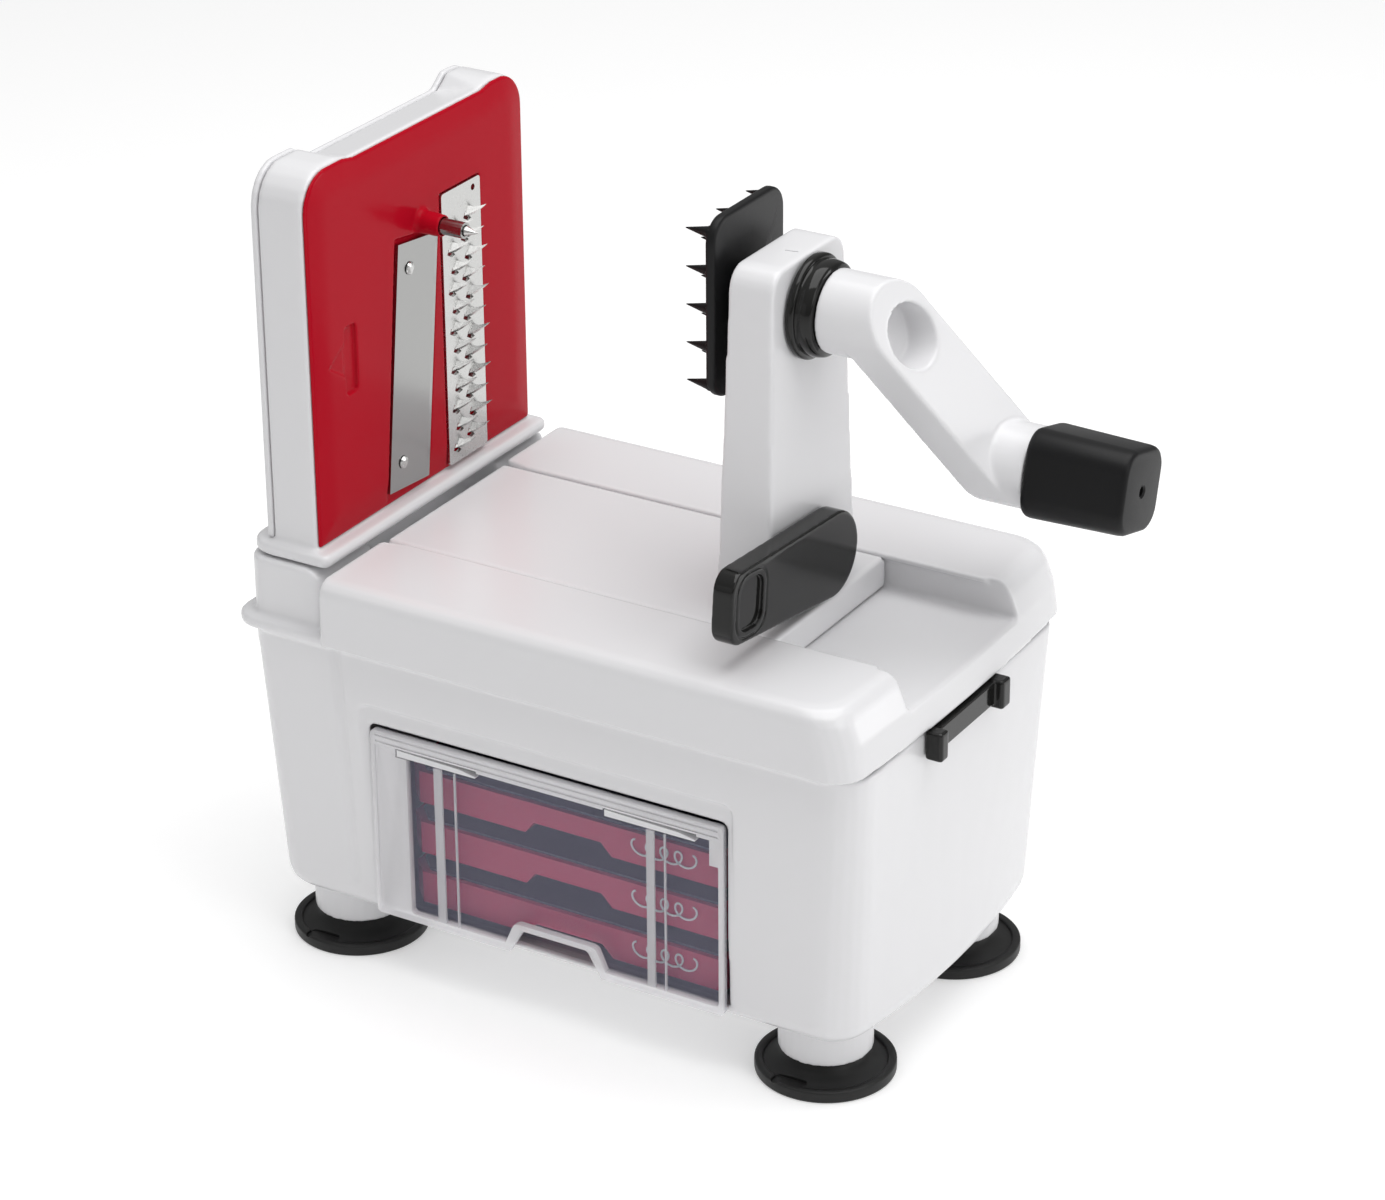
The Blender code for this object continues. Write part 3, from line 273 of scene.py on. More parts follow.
def loft(name, sections):
    """A closed body through rings of points that all have the same count."""
    bm = bmesh.new()
    rings = [[bm.verts.new(point) for point in section] for section in sections]
    count = len(rings[0])
    for low, high in zip(rings, rings[1:]):
        for i in range(count):
            j = (i + 1) % count
            bm.faces.new((low[i], low[j], high[j], high[i]))
    bm.faces.new(list(reversed(rings[0])))
    bm.faces.new(rings[-1])
    return new_piece(name, bm)


def on_axis(axis, along, u, v):
    if axis == "X":
        return (along, u, v)
    if axis == "Y":
        return (u, along, v)
    return (u, v, along)


def prism(name, outline, axis, low, high):
    """An outline of (u, v) points extruded along X, Y or Z."""
    return loft(name, [[on_axis(axis, along, u, v) for u, v in outline] for along in (low, high)])


def slab(name, low, high):
    outline = [(low[0], low[1]), (high[0], low[1]), (high[0], high[1]), (low[0], high[1])]
    return prism(name, outline, "Z", low[2], high[2])


def turned(name, profile, axis, centre, steps=64):
    """Turns a profile of (along, radius) points about an axis through centre.

    The first and last points lie on the axis, or the profile closes on itself around a hole.
    """
    bm = bmesh.new()
    rings = []
    for along, radius in profile:
        turn = [2 * math.pi * i / steps for i in range(steps)] if radius else [0.0]
        spots = [(radius * math.cos(t), radius * math.sin(t)) for t in turn]
        rings.append([bm.verts.new(Vector(on_axis(axis, along, u, v)) + Vector(centre)) for u, v in spots])
    pairs = list(zip(rings, rings[1:]))
    if profile[0][1]:
        pairs.append((rings[-1], rings[0]))
    for a, b in pairs:
        for i in range(steps):
            j = (i + 1) % steps
            corners = [a[i % len(a)], a[j % len(a)], b[j % len(b)], b[i % len(b)]]
            bm.faces.new(list(dict.fromkeys(corners)))
    return new_piece(name, bm)


def rounded(low_u, low_v, high_u, high_v, radius, steps=10):
    """A rectangle with round corners, as (u, v) points, anticlockwise."""
    radii = radius if isinstance(radius, (list, tuple)) else [radius] * 4
    corners = [(low_u, low_v, 180), (high_u, low_v, 270), (high_u, high_v, 0), (low_u, high_v, 90)]
    points = []
    for (u, v, start), r in zip(corners, radii):
        centre_u = u + r if u == low_u else u - r
        centre_v = v + r if v == low_v else v - r
        for i in range(steps + 1):
            angle = math.radians(start + 90 * i / steps)
            points.append((centre_u + r * math.cos(angle), centre_v + r * math.sin(angle)))
    return points


def circle(y, z, radius, steps=64):
    turns = [2 * math.pi * i / steps for i in range(steps)]
    return [(y + radius * math.cos(t), z + radius * math.sin(t)) for t in turns]


def apply_steps(piece):
    """Replaces the piece's mesh by what its modifiers make of it."""
    graph = bpy.context.evaluated_depsgraph_get()
    mesh = bpy.data.meshes.new_from_object(piece.evaluated_get(graph))
    piece.modifiers.clear()
    piece.data = mesh
    return piece


def boolean(piece, operation, *others):
    for other in others:
        step = piece.modifiers.new("boolean", "BOOLEAN")
        step.operation = operation
        step.object = other
    apply_steps(piece)
    for other in others:
        bpy.data.objects.remove(other, do_unlink=True)
    return piece


def cut(piece, *cutters):
    return boolean(piece, "DIFFERENCE", *cutters)


def join(piece, *others):
    return boolean(piece, "UNION", *others)


def mould(piece, voxel, passes):
    """Rounds every edge and fills every inner corner a little, and keeps the piece in its own box."""
    corners = [Vector(corner) for corner in piece.bound_box]
    low, high = corners[0], corners[6]
    step = piece.modifiers.new("remesh", "REMESH")
    step.mode = "VOXEL"
    step.voxel_size = voxel * MM
    step = piece.modifiers.new("smooth", "SMOOTH")
    step.factor = 0.5
    step.iterations = passes
    apply_steps(piece)
    for vertex in piece.data.vertices:
        vertex.co = [min(max(c, a), b) for c, a, b in zip(vertex.co, low, high)]
    piece.data.shade_smooth()
    return piece


def bevelled(piece, width, segments=3, angle=35.0):
    """Rounds the sharp edges of a piece with flat faces and keeps the faces flat."""
    step = piece.modifiers.new("bevel", "BEVEL")
    step.width = width * MM
    step.segments = segments
    step.limit_method = "ANGLE"
    step.angle_limit = math.radians(angle)
    step.harden_normals = True
    apply_steps(piece)
    smooth(piece)
    return piece


def smooth(piece, angle=40.0):
    piece.data.shade_smooth()
    piece.data.set_sharp_from_angle(angle=math.radians(angle))
    return piece


def dress(piece, look, body, slot, *nodes):
    """Gives a piece its material and its body and hides the CAD nodes it stands for; the slot is not used."""
    piece.data.materials.clear()
    piece.data.materials.append(look)
    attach(piece, body)
    if nodes:
        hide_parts(*nodes)
    return piece


# ---------------------------------------------------------------- feet

FOOT_Y = 43.0
BOSS_RADIUS = 15.2
BOSS_BOTTOM = 9.0
STUD_RADIUS = 5.0           # the cup's stud inside its boss
STUD_TOP = 18.0
RIM_ROUND = 0.8


def arc(centre, radius, start, end, steps=6):
    """Points (along, radius) of a round edge on a turned profile, angles in degrees."""
    points = []
    for i in range(steps + 1):
        angle = math.radians(start + (end - start) * i / steps)
        points.append((centre[0] + radius * math.sin(angle), centre[1] + radius * math.cos(angle)))
    return points


def suction_cup(name, x, y):
    """A flat disc with a raised, notched rim, a low cone inside it and a neck under the boss."""
    rim = CUP_RADIUS - RIM_ROUND
    profile = [(3.0, 0.0), (3.0, 11.0), (0.4, 18.6), (0.0, 19.6)]
    profile += arc((RIM_ROUND, rim), RIM_ROUND, -80, 0)
    profile += arc((3.2, rim), RIM_ROUND, 0, 80)
    profile += [(4.0, CUP_RADIUS - 2.4), (3.8, CUP_RADIUS - 2.7), (3.2, CUP_RADIUS - 2.9)]
    profile += [(3.5, CUP_RADIUS - 4.4), (4.6, BOSS_RADIUS), (5.6, BOSS_RADIUS - 1.8)]
    profile += [(7.6, BOSS_RADIUS - 3.0)]
    neck_top = BOSS_BOTTOM - 0.4
    profile += [(neck_top, BOSS_RADIUS - 3.2), (neck_top, STUD_RADIUS)]
    profile += [(STUD_TOP, STUD_RADIUS), (STUD_TOP, 0.0)]
    cup = turned(name, profile, "Z", (x, y, 0.0), 96)
    front = y - CUP_RADIUS
    notch = rounded(x - 8.0, front + 0.9, x + 3.0, front + 6.0, 1.0, 5)
    cut(cup, prism("notch", notch, "Z", 3.1, 6.0))
    smooth(cup, 45.0)
    dress(cup, RUBBER, "base", "rubber", name.replace("cup_piece", "suction_cup"))


def foot_boss(number):
    """The ring between a cup and the housing, its edges rounded."""
    boss = mould(copy_of(f"foot_boss_{number}", f"boss_ring_{number}"), 0.45, 8)
    dress(boss, WHITE, "base", "white_plastic", f"foot_boss_{number}")


for number, (side_x, side_y) in enumerate(((-1, -1), (1, -1), (-1, 1), (1, 1)), 1):
    suction_cup(f"cup_piece_{number}", side_x * FOOT_X, side_y * FOOT_Y)
    foot_boss(number)


# ---------------------------------------------------------------- housing and cover

def housing():
    """The tub, with a shallow valley down the front beside the drawer."""
    piece = copy_of("base_housing", "housing")
    valley = loft("valley", [
        [(-77.0, -80.0, 30.0), (-73.4, -80.0, 30.0), (-73.4, -63.4, 30.0), (-77.0, -63.4, 30.0)],
        [(-79.0, -80.0, 117.0), (-74.4, -80.0, 117.0), (-74.4, -67.4, 117.0), (-79.0, -67.4, 117.0)],
    ])
    cut(piece, valley)
    mould(piece, 0.9, 6)
    dress(piece, WHITE, "base", "white_plastic", "base_housing")


def cover():
    """The top cover, with the mouth of its trough flared at the panel's end."""
    piece = copy_of("top_cover", "cover")
    flare = [(-80.0, 33.0), (-80.0, 37.2), (-68.0, 34.4), (-68.0, 33.0)]
    flares = [prism("flare", [(x, side * y) for x, y in flare], "Z", 136.0, 150.0) for side in (1, -1)]
    cut(piece, *flares)
    mould(piece, 0.75, 4)
    dress(piece, WHITE, "base", "white_plastic", "top_cover")


def clip():
    piece = copy_of("crank_clip", "clip")
    mould(piece, 0.35, 5)
    dress(piece, BLACK_GLOSS, "base", "gloss_black_plastic", "crank_clip")


housing()
cover()
clip()


# ---------------------------------------------------------------- blade panel

PANEL_FRONT = -86.6
PANEL_HALF_WIDTH = 61.5
PANEL_BOTTOM = 146.0
PANEL_TOP = 271.6
PANEL_CORNER = 13.0
DIP_FRONT = 1.2
FACE = -84.4
BLADE_POCKET = 1.1          # how deep the blades are let into the red plate
SPINDLE_Z = 237.6
SPINDLE_BORE = 5.3


def panel_outline(dip, inset, foot):
    """The panel seen along X, with the middle of its top edge lowered by dip."""
    top = PANEL_TOP - inset
    half = PANEL_HALF_WIDTH - inset
    corner = PANEL_CORNER - inset
    steps = 12
    points = rounded(-half, PANEL_BOTTOM + foot, half, top, [1.0, 1.0, corner, corner], steps)
    split = 3 * (steps + 1)
    middle = [(44.0, top), (38.0, top - dip), (-34.0, top - dip), (-40.0, top)]
    return points[:split] + middle + points[split:]


def at_x(outline, x):
    """A ring of (y, z) points at one X."""
    return [(x, y, z) for y, z in outline]


def frame_pieces():
    piece = copy_of("panel_frame", "panel_shell")
    mould(piece, 0.9, 7)
    dress(piece, WHITE, "base", "white_plastic", "panel_frame")
    back = copy_of("panel_rear_cover", "panel_back")
    mould(back, 0.9, 5)
    dress(back, WHITE, "base", "white_plastic", "panel_rear_cover")


def cassette():
    """The red plate: a round edge, a border that rises to the flat middle, and a hollow skirt behind."""
    edge, drop, steps = 0.8, 1.0, 5
    rings = [(PANEL_FRONT + GAP, 0.6)]
    for i in range(steps + 1):
        angle = math.radians(75 * i / steps)
        rings.append((FACE - drop - edge * (1 - math.sin(angle)), 0.5 + edge * (1 - math.cos(angle))))
    rings += [(FACE - 0.6, 4.0), (FACE - 0.25, 6.5), (FACE - 0.06, 8.5), (FACE, 10.0)]
    sections = [at_x(panel_outline(DIP_FRONT, inset, GAP + inset), x) for x, inset in rings]
    plate = loft("red_cassette", sections)
    skirt = slab("skirt", (-100.0, -56.0, 151.0), (PANEL_FRONT + 1.0, 56.0, 262.0))
    cut(skirt, slab("hollow", (-101.0, -54.0, 153.0), (PANEL_FRONT + 0.6, 54.0, 260.0)))
    boss_profile = [(PANEL_FRONT + 0.5, 0.0), (PANEL_FRONT + 0.5, 4.8), (FACE, 4.8), (FACE + 0.6, 4.3),
                    (FACE + 1.6, 3.9), (FACE + 8.2, 3.6), (FACE + 8.6, 3.4), (FACE + 8.6, 0.0)]
    join(plate, skirt, turned("boss", boss_profile, "X", (0.0, 0.0, SPINDLE_Z)))
    recess = [(-24.4, 148.2), (-15.2, 236.4), (10.6, 232.6), (8.6, 229.0), (-1.0, 146.6)]
    slit = [(-8.0, 152.5), (1.2, 229.0), (8.3, 229.0), (-0.8, 152.5)]
    arrow = [(-53.4, 205.8), (-44.0, 199.6), (-44.0, 212.0)]
    behind, clear = PANEL_FRONT - 8.4, FACE + 5.0
    cut(
        plate,
        prism("recess", recess, "X", FACE - BLADE_POCKET, clear),
        prism("slit", slit, "X", behind, clear),
        slab("comb_window", (behind, 13.0, 152.0), (clear, 31.0, 238.0)),
        slab("comb_pocket", (FACE - BLADE_POCKET, 10.4, 147.6), (clear, 33.6, 243.4)),
        prism("corer_hole", circle(0.0, SPINDLE_Z, 3.0), "X", behind, FACE + 12.0),
        prism("grip", rounded(-44.4, 193.5, -38.2, 216.5, 1.5, 4), "X", FACE - 1.3, clear),
        prism("arrow", arrow, "X", FACE - 0.75, clear),
    )
    mould(plate, 0.42, 3)
    dress(plate, RED, "cassette", "red_plastic", "blade_cassette")


BLADE_TILT = math.radians(-6.8)
BLADE_CENTRE = (-7.4, 191.5)
BLADE_BACK = FACE - BLADE_POCKET + GAP
BLADE_FRONT = FACE + 0.4


def tilted(points, centre, angle):
    """Turns (u, v) points by an angle and moves them to a centre."""
    c, s = math.cos(angle), math.sin(angle)
    return [(centre[0] + u * c - v * s, centre[1] + u * s + v * c) for u, v in points]


def blade():
    """A flat blade with a ground bevel along its cutting edge."""
    sections = []
    for x, edge in ((BLADE_BACK, 11.2), (BLADE_FRONT - 0.25, 11.2), (BLADE_FRONT, 9.4)):
        corners = [(-11.6, -41.8), (edge, -41.0), (edge, 41.6), (-11.6, 41.6)]
        sections.append(at_x(tilted(corners, BLADE_CENTRE, BLADE_TILT), x))
    piece = loft("ground_blade", sections)
    smooth(piece, 1.0)
    dress(piece, BLADE_STEEL, "cassette", "stainless_steel", "straight_blade")


COMB_ROWS = 12
COMB_FOOT = 153.0
COMB_PITCH = 6.9


def comb_tooth(y, z, height):
    """A curved thorn bent up out of the plate, its tip pointing right and up."""
    leaf = [(-2.7, -0.9), (0.5, -2.1), (2.6, 0.7), (-0.6, 2.0)]
    rings = []
    for share, size, run, rise in ((0.0, 1.0, 0.0, 0.0), (0.4, 0.55, 1.3, 0.3), (0.75, 0.26, 2.8, 0.9),
                                   (1.0, 0.03, 4.2, 1.6)):
        x = BLADE_FRONT - 0.3 + height * share
        rings.append([(x, y + run + u * size, z + rise + v * size) for u, v in leaf])
    return loft("tooth", rings)


def comb():
    """A punched plate with two slanted columns of lifted teeth and the holes they came from."""
    piece = prism("comb_plate", rounded(10.8, 148.0, 33.2, 243.0, 1.2, 5), "X", BLADE_BACK, BLADE_FRONT)
    holes = []
    teeth = []
    behind, clear = BLADE_BACK - 3.0, BLADE_FRONT + 3.0
    for row in range(COMB_ROWS):
        for column in range(2):
            y = 16.4 + 8.0 * column + (1.8 if row % 2 else 0.0)
            z = COMB_FOOT + row * COMB_PITCH + 2.6 * column + 0.6
            leaf = [(y - 3.2, z - 1.0), (y - 0.6, z - 2.6), (y + 1.4, z - 2.2), (y - 2.0, z + 1.2)]
            holes.append(prism("hole", leaf, "X", behind, clear))
            teeth.append(comb_tooth(y + 0.6, z + 0.4, 4.0))
    holes.append(prism("eye", circle(29.0, 240.0, 1.1, 24), "X", behind, clear))
    cut(piece, *holes)
    join(piece, *teeth)
    smooth(piece, 30.0)
    dress(piece, STEEL, "cassette", "stainless_steel", "comb_blade")


frame_pieces()
cassette()
blade()
comb()


# ---------------------------------------------------------------- carriage and tower

TOWER_TOP = 254.3


def carriage():
    piece = copy_of("carriage_plate", "slide_plate")
    mould(piece, 0.8, 6)
    dress(piece, WHITE, "carriage", "white_plastic", "carriage_plate")


def tower():
    shell = copy_of("tower_shell", "tower_case")
    mould(shell, 0.6, 14)
    dress(shell, WHITE, "carriage", "white_plastic", "tower_shell")
    plate = copy_of("tower_cover", "tower_lid")
    mould(plate, 0.6, 5)
    dress(plate, WHITE, "carriage", "white_plastic", "tower_cover")
    x = cad_box("tower_shell")[1].x - 7.0
    corners = [(x - 2.6, -1.8), (x + 1.6, -1.0), (x - 1.2, 2.2)]
    mark = prism("tower_mark", corners, "Z", TOWER_TOP - 0.6, TOWER_TOP + 0.25)
    dress(mark, WHITE, "carriage", "white_plastic")


def bushes():
    """The stepped collar on the crank's side of the tower."""
    face = cad_box("rear_bush")[1].x
    middle = (0.0, 0.0, SPINDLE_Z)
    rear = [(49.0, SPINDLE_BORE), (49.0, 11.0), (face - 7.9, 11.0), (face - 7.9, 16.2), (face - 7.5, 16.6)]
    rear += [(face - 5.9, 16.6), (face - 5.4, 16.2), (face - 5.2, 15.2), (face - 4.4, 15.0)]
    rear += [(face - 3.4, 15.3), (face - 2.4, 15.2), (face - 0.6, 14.8), (face, 14.2), (face, SPINDLE_BORE)]
    piece = smooth(turned("spindle_collar", rear, "X", middle, 96), 50.0)
    dress(piece, BLACK_GLOSS, "carriage", "gloss_black_plastic", "rear_bush")


carriage()
tower()
bushes()


# ---------------------------------------------------------------- lever

LEVER_Z = 155.9
LEVER_LENGTH = 64.5
LEVER_RISE = math.radians(6.0)


def lever_place(points):
    """From along and across the lever to (y, z), with its near end a little higher."""
    c, s = math.cos(LEVER_RISE), math.sin(LEVER_RISE)
    return [(-u * c + v * s, LEVER_Z + u * s + v * c) for u, v in points]


def lever():
    """A round end on the tower, a squarer one with a dimple for the thumb and a raised rim around it."""
    low, high = cad_box("push_lever")
    big, small, corner = 14.2, 11.9, 6.5
    turns = [math.radians(90 + 180 * i / 32) for i in range(33)]
    outline = [(big * math.cos(t), big * math.sin(t)) for t in turns]
    thumb_end = rounded(0.0, -small, LEVER_LENGTH, small, corner, 12)
    outline += [(u, v) for u, v in thumb_end if u > LEVER_LENGTH / 2]
    piece = prism("thumb_lever", lever_place(outline), "X", low.x, high.x)
    cut(piece, prism("bore", circle(0.0, LEVER_Z, 4.8), "X", low.x - 2.0, low.x + 4.9))
    mould(piece, 0.4, 14)
    near, far = LEVER_LENGTH - 19.0, LEVER_LENGTH - 5.0
    rim = prism("rim", lever_place(rounded(near - 1.6, -10.0, far + 1.6, 10.0, 6.0, 8)), "X",
                high.x - 0.6, high.x - 0.05)
    dimple = prism("dimple", lever_place(rounded(near, -8.4, far, 8.4, 4.6, 8)), "X",
                   high.x - 1.4, high.x + 3.0)
    groove = prism("groove", lever_place(rounded(near - 2.5, -10.9, far + 2.5, 10.9, 6.8, 8)), "X",
                   high.x - 0.5, high.x + 3.0)
    cut(piece, groove)
    join(piece, rim)
    cut(piece, dimple)
    mould(piece, 0.25, 5)
    dress(piece, BLACK_GLOSS, "lever", "gloss_black_plastic", "push_lever")


lever()


# ---------------------------------------------------------------- crank, pusher and knob

CRANK_ANGLE = math.radians(29.0)
CRANK_LEAN = math.radians(25.0)
CRANK_RADIUS = 58.0
ARM_FACE = 90.0
ARM_THICKNESS = 15.0
HUB_RADIUS = 13.2
TIP_RADIUS = 13.4
HUB_START = 66.4
RECESS_RADIUS = 9.7         # the round recess in the hub, and how far it lies towards the knob
RECESS_OUT = 4.6
NECK_END = 123.5
KNOB_BORE = 4.3
KNOB_LENGTH = 34.0
KNOB_HALF = 13.9
KNOB_Y = CRANK_RADIUS * math.sin(CRANK_ANGLE)
KNOB_Z = SPINDLE_Z - CRANK_RADIUS * math.cos(CRANK_ANGLE)


def crank_face(y, z, shift=0.0):
    """X of the arm's leaning front face over (y, z), or of a plane parallel to it."""
    out = y * math.sin(CRANK_ANGLE) - (z - SPINDLE_Z) * math.cos(CRANK_ANGLE)
    return ARM_FACE + shift + out * math.tan(CRANK_LEAN)


def arm_outline(hub, tip):
    """Two circles joined by their outer tangents, seen along X."""
    direction = math.atan2(KNOB_Z - SPINDLE_Z, KNOB_Y)
    spread = math.acos((hub - tip) / CRANK_RADIUS)
    steps = 40
    points = []
    for i in range(steps + 1):
        angle = direction + spread + (2 * math.pi - 2 * spread) * i / steps
        points.append((hub * math.cos(angle), SPINDLE_Z + hub * math.sin(angle)))
    for i in range(steps + 1):
        angle = direction - spread + 2 * spread * i / steps
        points.append((KNOB_Y + tip * math.cos(angle), KNOB_Z + tip * math.sin(angle)))
    return points


def crank():
    """A leaning arm between a hub with a round recess and a neck for the knob."""
    outline = arm_outline(HUB_RADIUS, TIP_RADIUS)
    arm = loft("crank_casting", [[(crank_face(y, z, shift), y, z) for y, z in outline]
                                 for shift in (-ARM_THICKNESS, 0.0)])
    ring = circle(0.0, SPINDLE_Z, HUB_RADIUS)
    hub = loft("hub", [at_x(ring, HUB_START), [(crank_face(y, z, -3.0), y, z) for y, z in ring]])
    ring = circle(KNOB_Y, KNOB_Z, TIP_RADIUS)
    neck = loft("neck", [[(crank_face(y, z, -4.0), y, z) for y, z in ring], at_x(ring, NECK_END - 0.4)])
    join(arm, hub, neck)
    mouth = circle(RECESS_OUT * math.sin(CRANK_ANGLE), SPINDLE_Z - RECESS_OUT * math.cos(CRANK_ANGLE),
                   RECESS_RADIUS)
    recess = loft("recess", [[(crank_face(y, z, shift), y, z) for y, z in mouth] for shift in (-10.5, 8.0)])
    bore = prism("bore", circle(0.0, SPINDLE_Z, SPINDLE_BORE), "X", 60.0, ARM_FACE - 15.0)
    knob_bore = prism("knob_bore", circle(KNOB_Y, KNOB_Z, KNOB_BORE), "X", NECK_END - 14.0, NECK_END + 5.0)
    cut(arm, recess, bore, knob_bore)
    mould(arm, 0.5, 10)
    dress(arm, WHITE, "crank", "white_plastic", "crank_arm")


PUSHER_LEFT = 33.0
PUSHER_RIGHT = 36.6
PUSHER_HALF_Y = 21.2
PUSHER_HALF_Z = 29.4
SPIKE_LENGTH = 8.5
SPIKE_RADIUS = 2.1
SPIKE_COLUMNS = 5
SPIKE_PITCH_Y = 9.0
SPIKE_PITCH_Z = 12.4


def pusher():
    """A plate with columns of five and four spikes by turns, and a boss on the spindle."""
    outline = rounded(-PUSHER_HALF_Y, SPINDLE_Z - PUSHER_HALF_Z, PUSHER_HALF_Y, SPINDLE_Z + PUSHER_HALF_Z,
                      8.0, 12)
    plate = bevelled(prism("spiked_plate", outline, "X", PUSHER_LEFT, PUSHER_RIGHT), 1.1, 4)
    middle = (0.0, 0.0, SPINDLE_Z)
    others = [turned("boss", [(PUSHER_RIGHT - 1.0, 0.0), (PUSHER_RIGHT - 1.0, 8.5), (38.8, 8.5), (39.2, 8.1),
                              (39.2, 0.0)], "X", middle)]
    profile = [(PUSHER_LEFT + 1.0, 0.0), (PUSHER_LEFT + 1.0, SPIKE_RADIUS), (PUSHER_LEFT - 0.1, SPIKE_RADIUS),
               (PUSHER_LEFT - 0.8, 1.75), (PUSHER_LEFT - SPIKE_LENGTH + 0.5, 0.22),
               (PUSHER_LEFT - SPIKE_LENGTH, 0.0)]
    for column in range(SPIKE_COLUMNS):
        rows = 5 if column % 2 == 0 else 4
        y = SPIKE_PITCH_Y * (column - (SPIKE_COLUMNS - 1) / 2)
        for row in range(rows):
            z = SPINDLE_Z + SPIKE_PITCH_Z * (row - (rows - 1) / 2)
            others.append(turned("spike", profile, "X", (0.0, y, z), 20))
    join(plate, *others)
    cut(plate, prism("socket", circle(0.0, SPINDLE_Z, SPINDLE_BORE), "X", 35.0, 45.0))
    smooth(plate, 35.0)
    dress(plate, BLACK_SATIN, "crank", "satin_black_plastic", "pusher_plate")


def knob():
    """A square knob with round corners, widest near the arm, with a screw hole in its end."""
    outline = tilted(rounded(-KNOB_HALF, -KNOB_HALF, KNOB_HALF, KNOB_HALF, 7.6, 14), (0.0, 0.0), -0.25)
    end = NECK_END + KNOB_LENGTH - 0.02
    levels = [(NECK_END, 0.93), (NECK_END + 0.3, 0.975), (NECK_END + 1.0, 1.005), (NECK_END + 2.2, 1.02),
              (end - 2.6, 0.97), (end - 1.3, 0.955), (end - 0.5, 0.925), (end - 0.1, 0.885), (end, 0.85)]
    piece = loft("turning_knob", [[(x, KNOB_Y + y * size, KNOB_Z + z * size) for y, z in outline]
                                  for x, size in levels])
    bore = prism("bore", circle(KNOB_Y, KNOB_Z, KNOB_BORE), "X", NECK_END - 3.0, end - 6.0)
    hole_profile = [(end - 4.0, 0.0), (end - 4.0, 1.6), (end - 0.5, 1.6), (end + 0.2, 2.4), (end + 2.0, 2.4),
                    (end + 2.0, 0.0)]
    hole = turned("hole", hole_profile, "X", (0.0, KNOB_Y, KNOB_Z), 32)
    cut(piece, bore, hole)
    smooth(piece, 38.0)
    dress(piece, BLACK_SATIN, "knob", "satin_black_plastic", "knob_grip")


crank()
pusher()
knob()


# ---------------------------------------------------------------- drawer

DOOR_FACE = -66.6
DOOR_BACK = -64.2
DOOR_SHEET = -65.6          # front of the clear sheet, behind the frame and the ribs
DOOR_HALF = 65.4
DOOR_LOW = 23.2
DOOR_HIGH = 90.2
OPENING = ((-51.8, 26.0), (63.8, 84.8))          # its lower left and upper right corner, in X and Z
RIBS = ((-41.5, -38.5), (-33.9, -33.4), (37.7, 40.5), (44.1, 44.6))
CATCHES = ((-56.0, -25.0), (22.0, 56.0))
CATCH_Z = 82.4
PULL_MIDDLE = 3.2


def pull_outline(foot, shoulder, top, height):
    """The arched finger pull in the door's lower edge, as (x, z) points."""
    half = [(foot, DOOR_LOW - 1.2), (shoulder, height - 2.0), (shoulder - 0.7, height - 0.7), (top, height)]
    return [(PULL_MIDDLE + x, z) for x, z in half] + [(PULL_MIDDLE - x, z) for x, z in reversed(half)]


def door_opening(name, outline):
    """A cutter that goes right through the door."""
    return prism(name, outline, "Y", DOOR_FACE - 8.0, DOOR_BACK + 4.0)


def catch_slots():
    return [slab("slot", (low, DOOR_FACE - 8.0, CATCH_Z), (high, DOOR_BACK + 4.0, CATCH_Z + 3.2))
            for low, high in CATCHES]


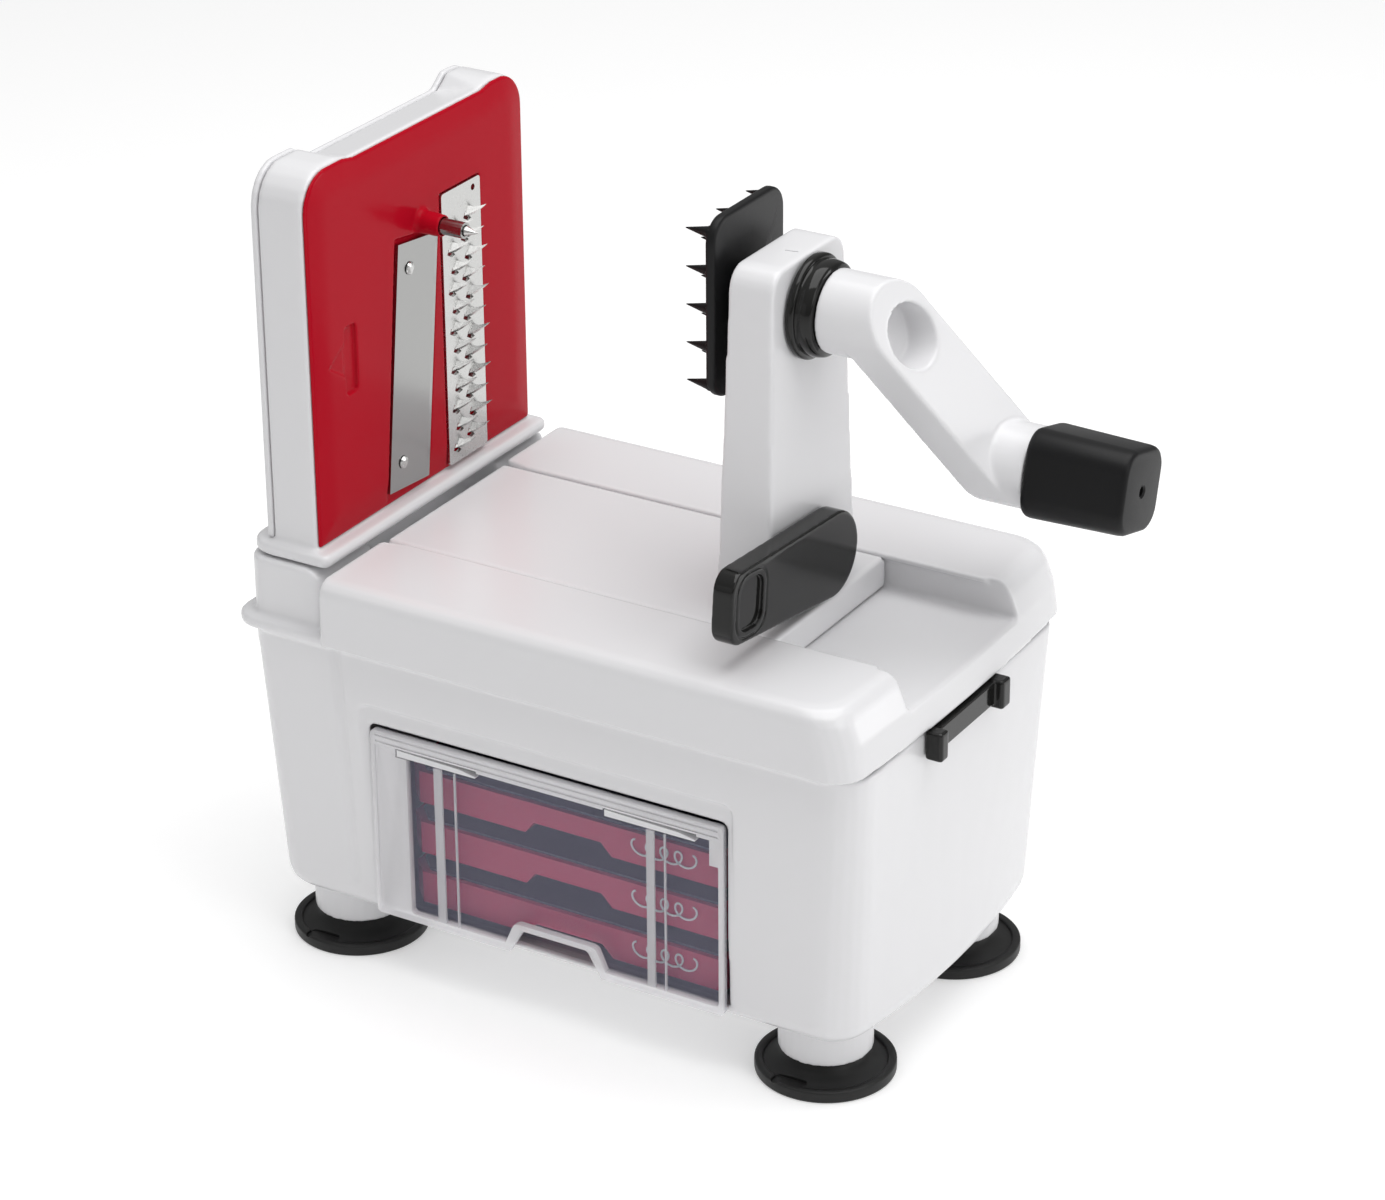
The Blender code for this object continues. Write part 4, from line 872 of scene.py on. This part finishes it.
def door():
    """A clear sheet with a frosted frame, an arched pull and two pairs of ribs."""
    outline = rounded(-DOOR_HALF, DOOR_LOW, DOOR_HALF, DOOR_HIGH, 1.4, 4)
    hole = pull_outline(18.0, 13.4, 11.6, 32.0)
    sheet = prism("clear_door", outline, "Y", DOOR_SHEET, DOOR_BACK)
    cut(sheet, door_opening("hole", hole), *catch_slots())
    smooth(sheet, 30.0)
    dress(sheet, CLEAR, "drawer", "clear_plastic", "drawer_front")

    frame_bar = prism("door_frame", outline, "Y", DOOR_FACE, DOOR_BACK)
    (left, low), (right, high) = OPENING
    cut(frame_bar, door_opening("opening", rounded(left, low, right, high, 1.6, 4)))
    arch = door_opening("arch", pull_outline(20.6, 16.2, 13.8, 34.0))
    bar = prism("bar", outline, "Y", DOOR_FACE, DOOR_BACK)
    boolean(bar, "INTERSECT", arch)
    ear = slab("ear", (60.6, DOOR_FACE, 76.0), (DOOR_HALF, DOOR_BACK, 85.5))
    join(frame_bar, bar, ear)
    front = DOOR_FACE - 1.0
    side = DOOR_HALF - 1.8
    grooves = [slab("groove", (-side, front, z), (side, DOOR_FACE + 0.4, z + 0.8)) for z in (86.2, 88.3)]
    grooves.append(slab("groove", (-63.8, front, DOOR_LOW + 2.0), (-62.8, DOOR_FACE + 0.3, DOOR_HIGH - 5.0)))
    cut(frame_bar, door_opening("hole", hole), *grooves, *catch_slots())
    bevelled(frame_bar, 0.25, 2, 50.0)
    dress(frame_bar, FROSTED, "drawer", "clear_plastic")

    bars = [slab("rib", (start, DOOR_FACE + 0.2, low - 0.2), (end, DOOR_SHEET - 0.02, CATCH_Z - 0.2))
            for start, end in RIBS]
    ribs = join(bars[0], *bars[1:])
    ribs.name = "door_ribs"
    dress(ribs, RIB_CLEAR, "drawer", "clear_plastic")


def tray():
    piece = copy_of("drawer_tray", "clear_tray")
    smooth(piece, 30.0)
    dress(piece, TRAY_CLEAR, "drawer", "clear_plastic", "drawer_tray")


def stored_cassette(number):
    """A cassette in the drawer, its moulded edges rounded, with its blade plate above, its steel darkened by
    painted shade.
    """
    shell = bevelled(copy_of(f"spare_cassette_{number}", f"stored_cassette_{number}"), 0.9, 2, 50.0)
    dress(shell, SPARE_RED, "drawer", "red_plastic", f"spare_cassette_{number}")
    plate = bevelled(copy_of(f"spare_blade_{number}", f"stored_blade_{number}"), 0.2, 1, 50.0)
    dress(plate, SHADED_STORED_STEEL, "drawer", "stainless_steel", f"spare_blade_{number}")


def curl_mark(number, low):
    """A printed row of loops on a stored cassette's front edge."""
    loops, radius, half_stroke = 4, 2.5, 0.32
    front, back = -60.5, -60.2
    steps = 24 * loops
    rings = []
    for i in range(steps + 1):
        turn = 2 * math.pi * loops * i / steps
        x = 30.0 + 21.0 * i / steps - radius * math.sin(turn)
        z = low + 6.6 + radius * math.cos(turn)
        u, v = half_stroke * math.sin(turn), -half_stroke * math.cos(turn)
        rings.append([(x - u, front, z - v), (x + u, front, z + v),
                      (x + u, back, z + v), (x - u, back, z - v)])
    dress(loft(f"curl_mark_{number}", rings), MARK, "drawer", "white_plastic")


door()
tray()
for number in range(1, 4):
    stored_cassette(number)
    curl_mark(number, cad_box(f"spare_cassette_{number}")[0].z)


# ---------------------------------------------------------------- CAD pieces that keep their shape

LOOKS = {
    "white_plastic": WHITE,
    "red_plastic": SPARE_RED,
    "gloss_black_plastic": BLACK_GLOSS,
    "satin_black_plastic": BLACK_SATIN,
    "rubber": RUBBER,
    "stainless_steel": STEEL,
    "clear_plastic": CLEAR,
}
for row in frame["record"]["subparts"]:
    kept = NODES[row["node"]]
    kept.data.materials.clear()
    look = BLADE_STEEL if row["node"] == "corer_tube" else LOOKS[row["material_slot"]]
    kept.data.materials.append(look)
    smooth(kept, 30.0)
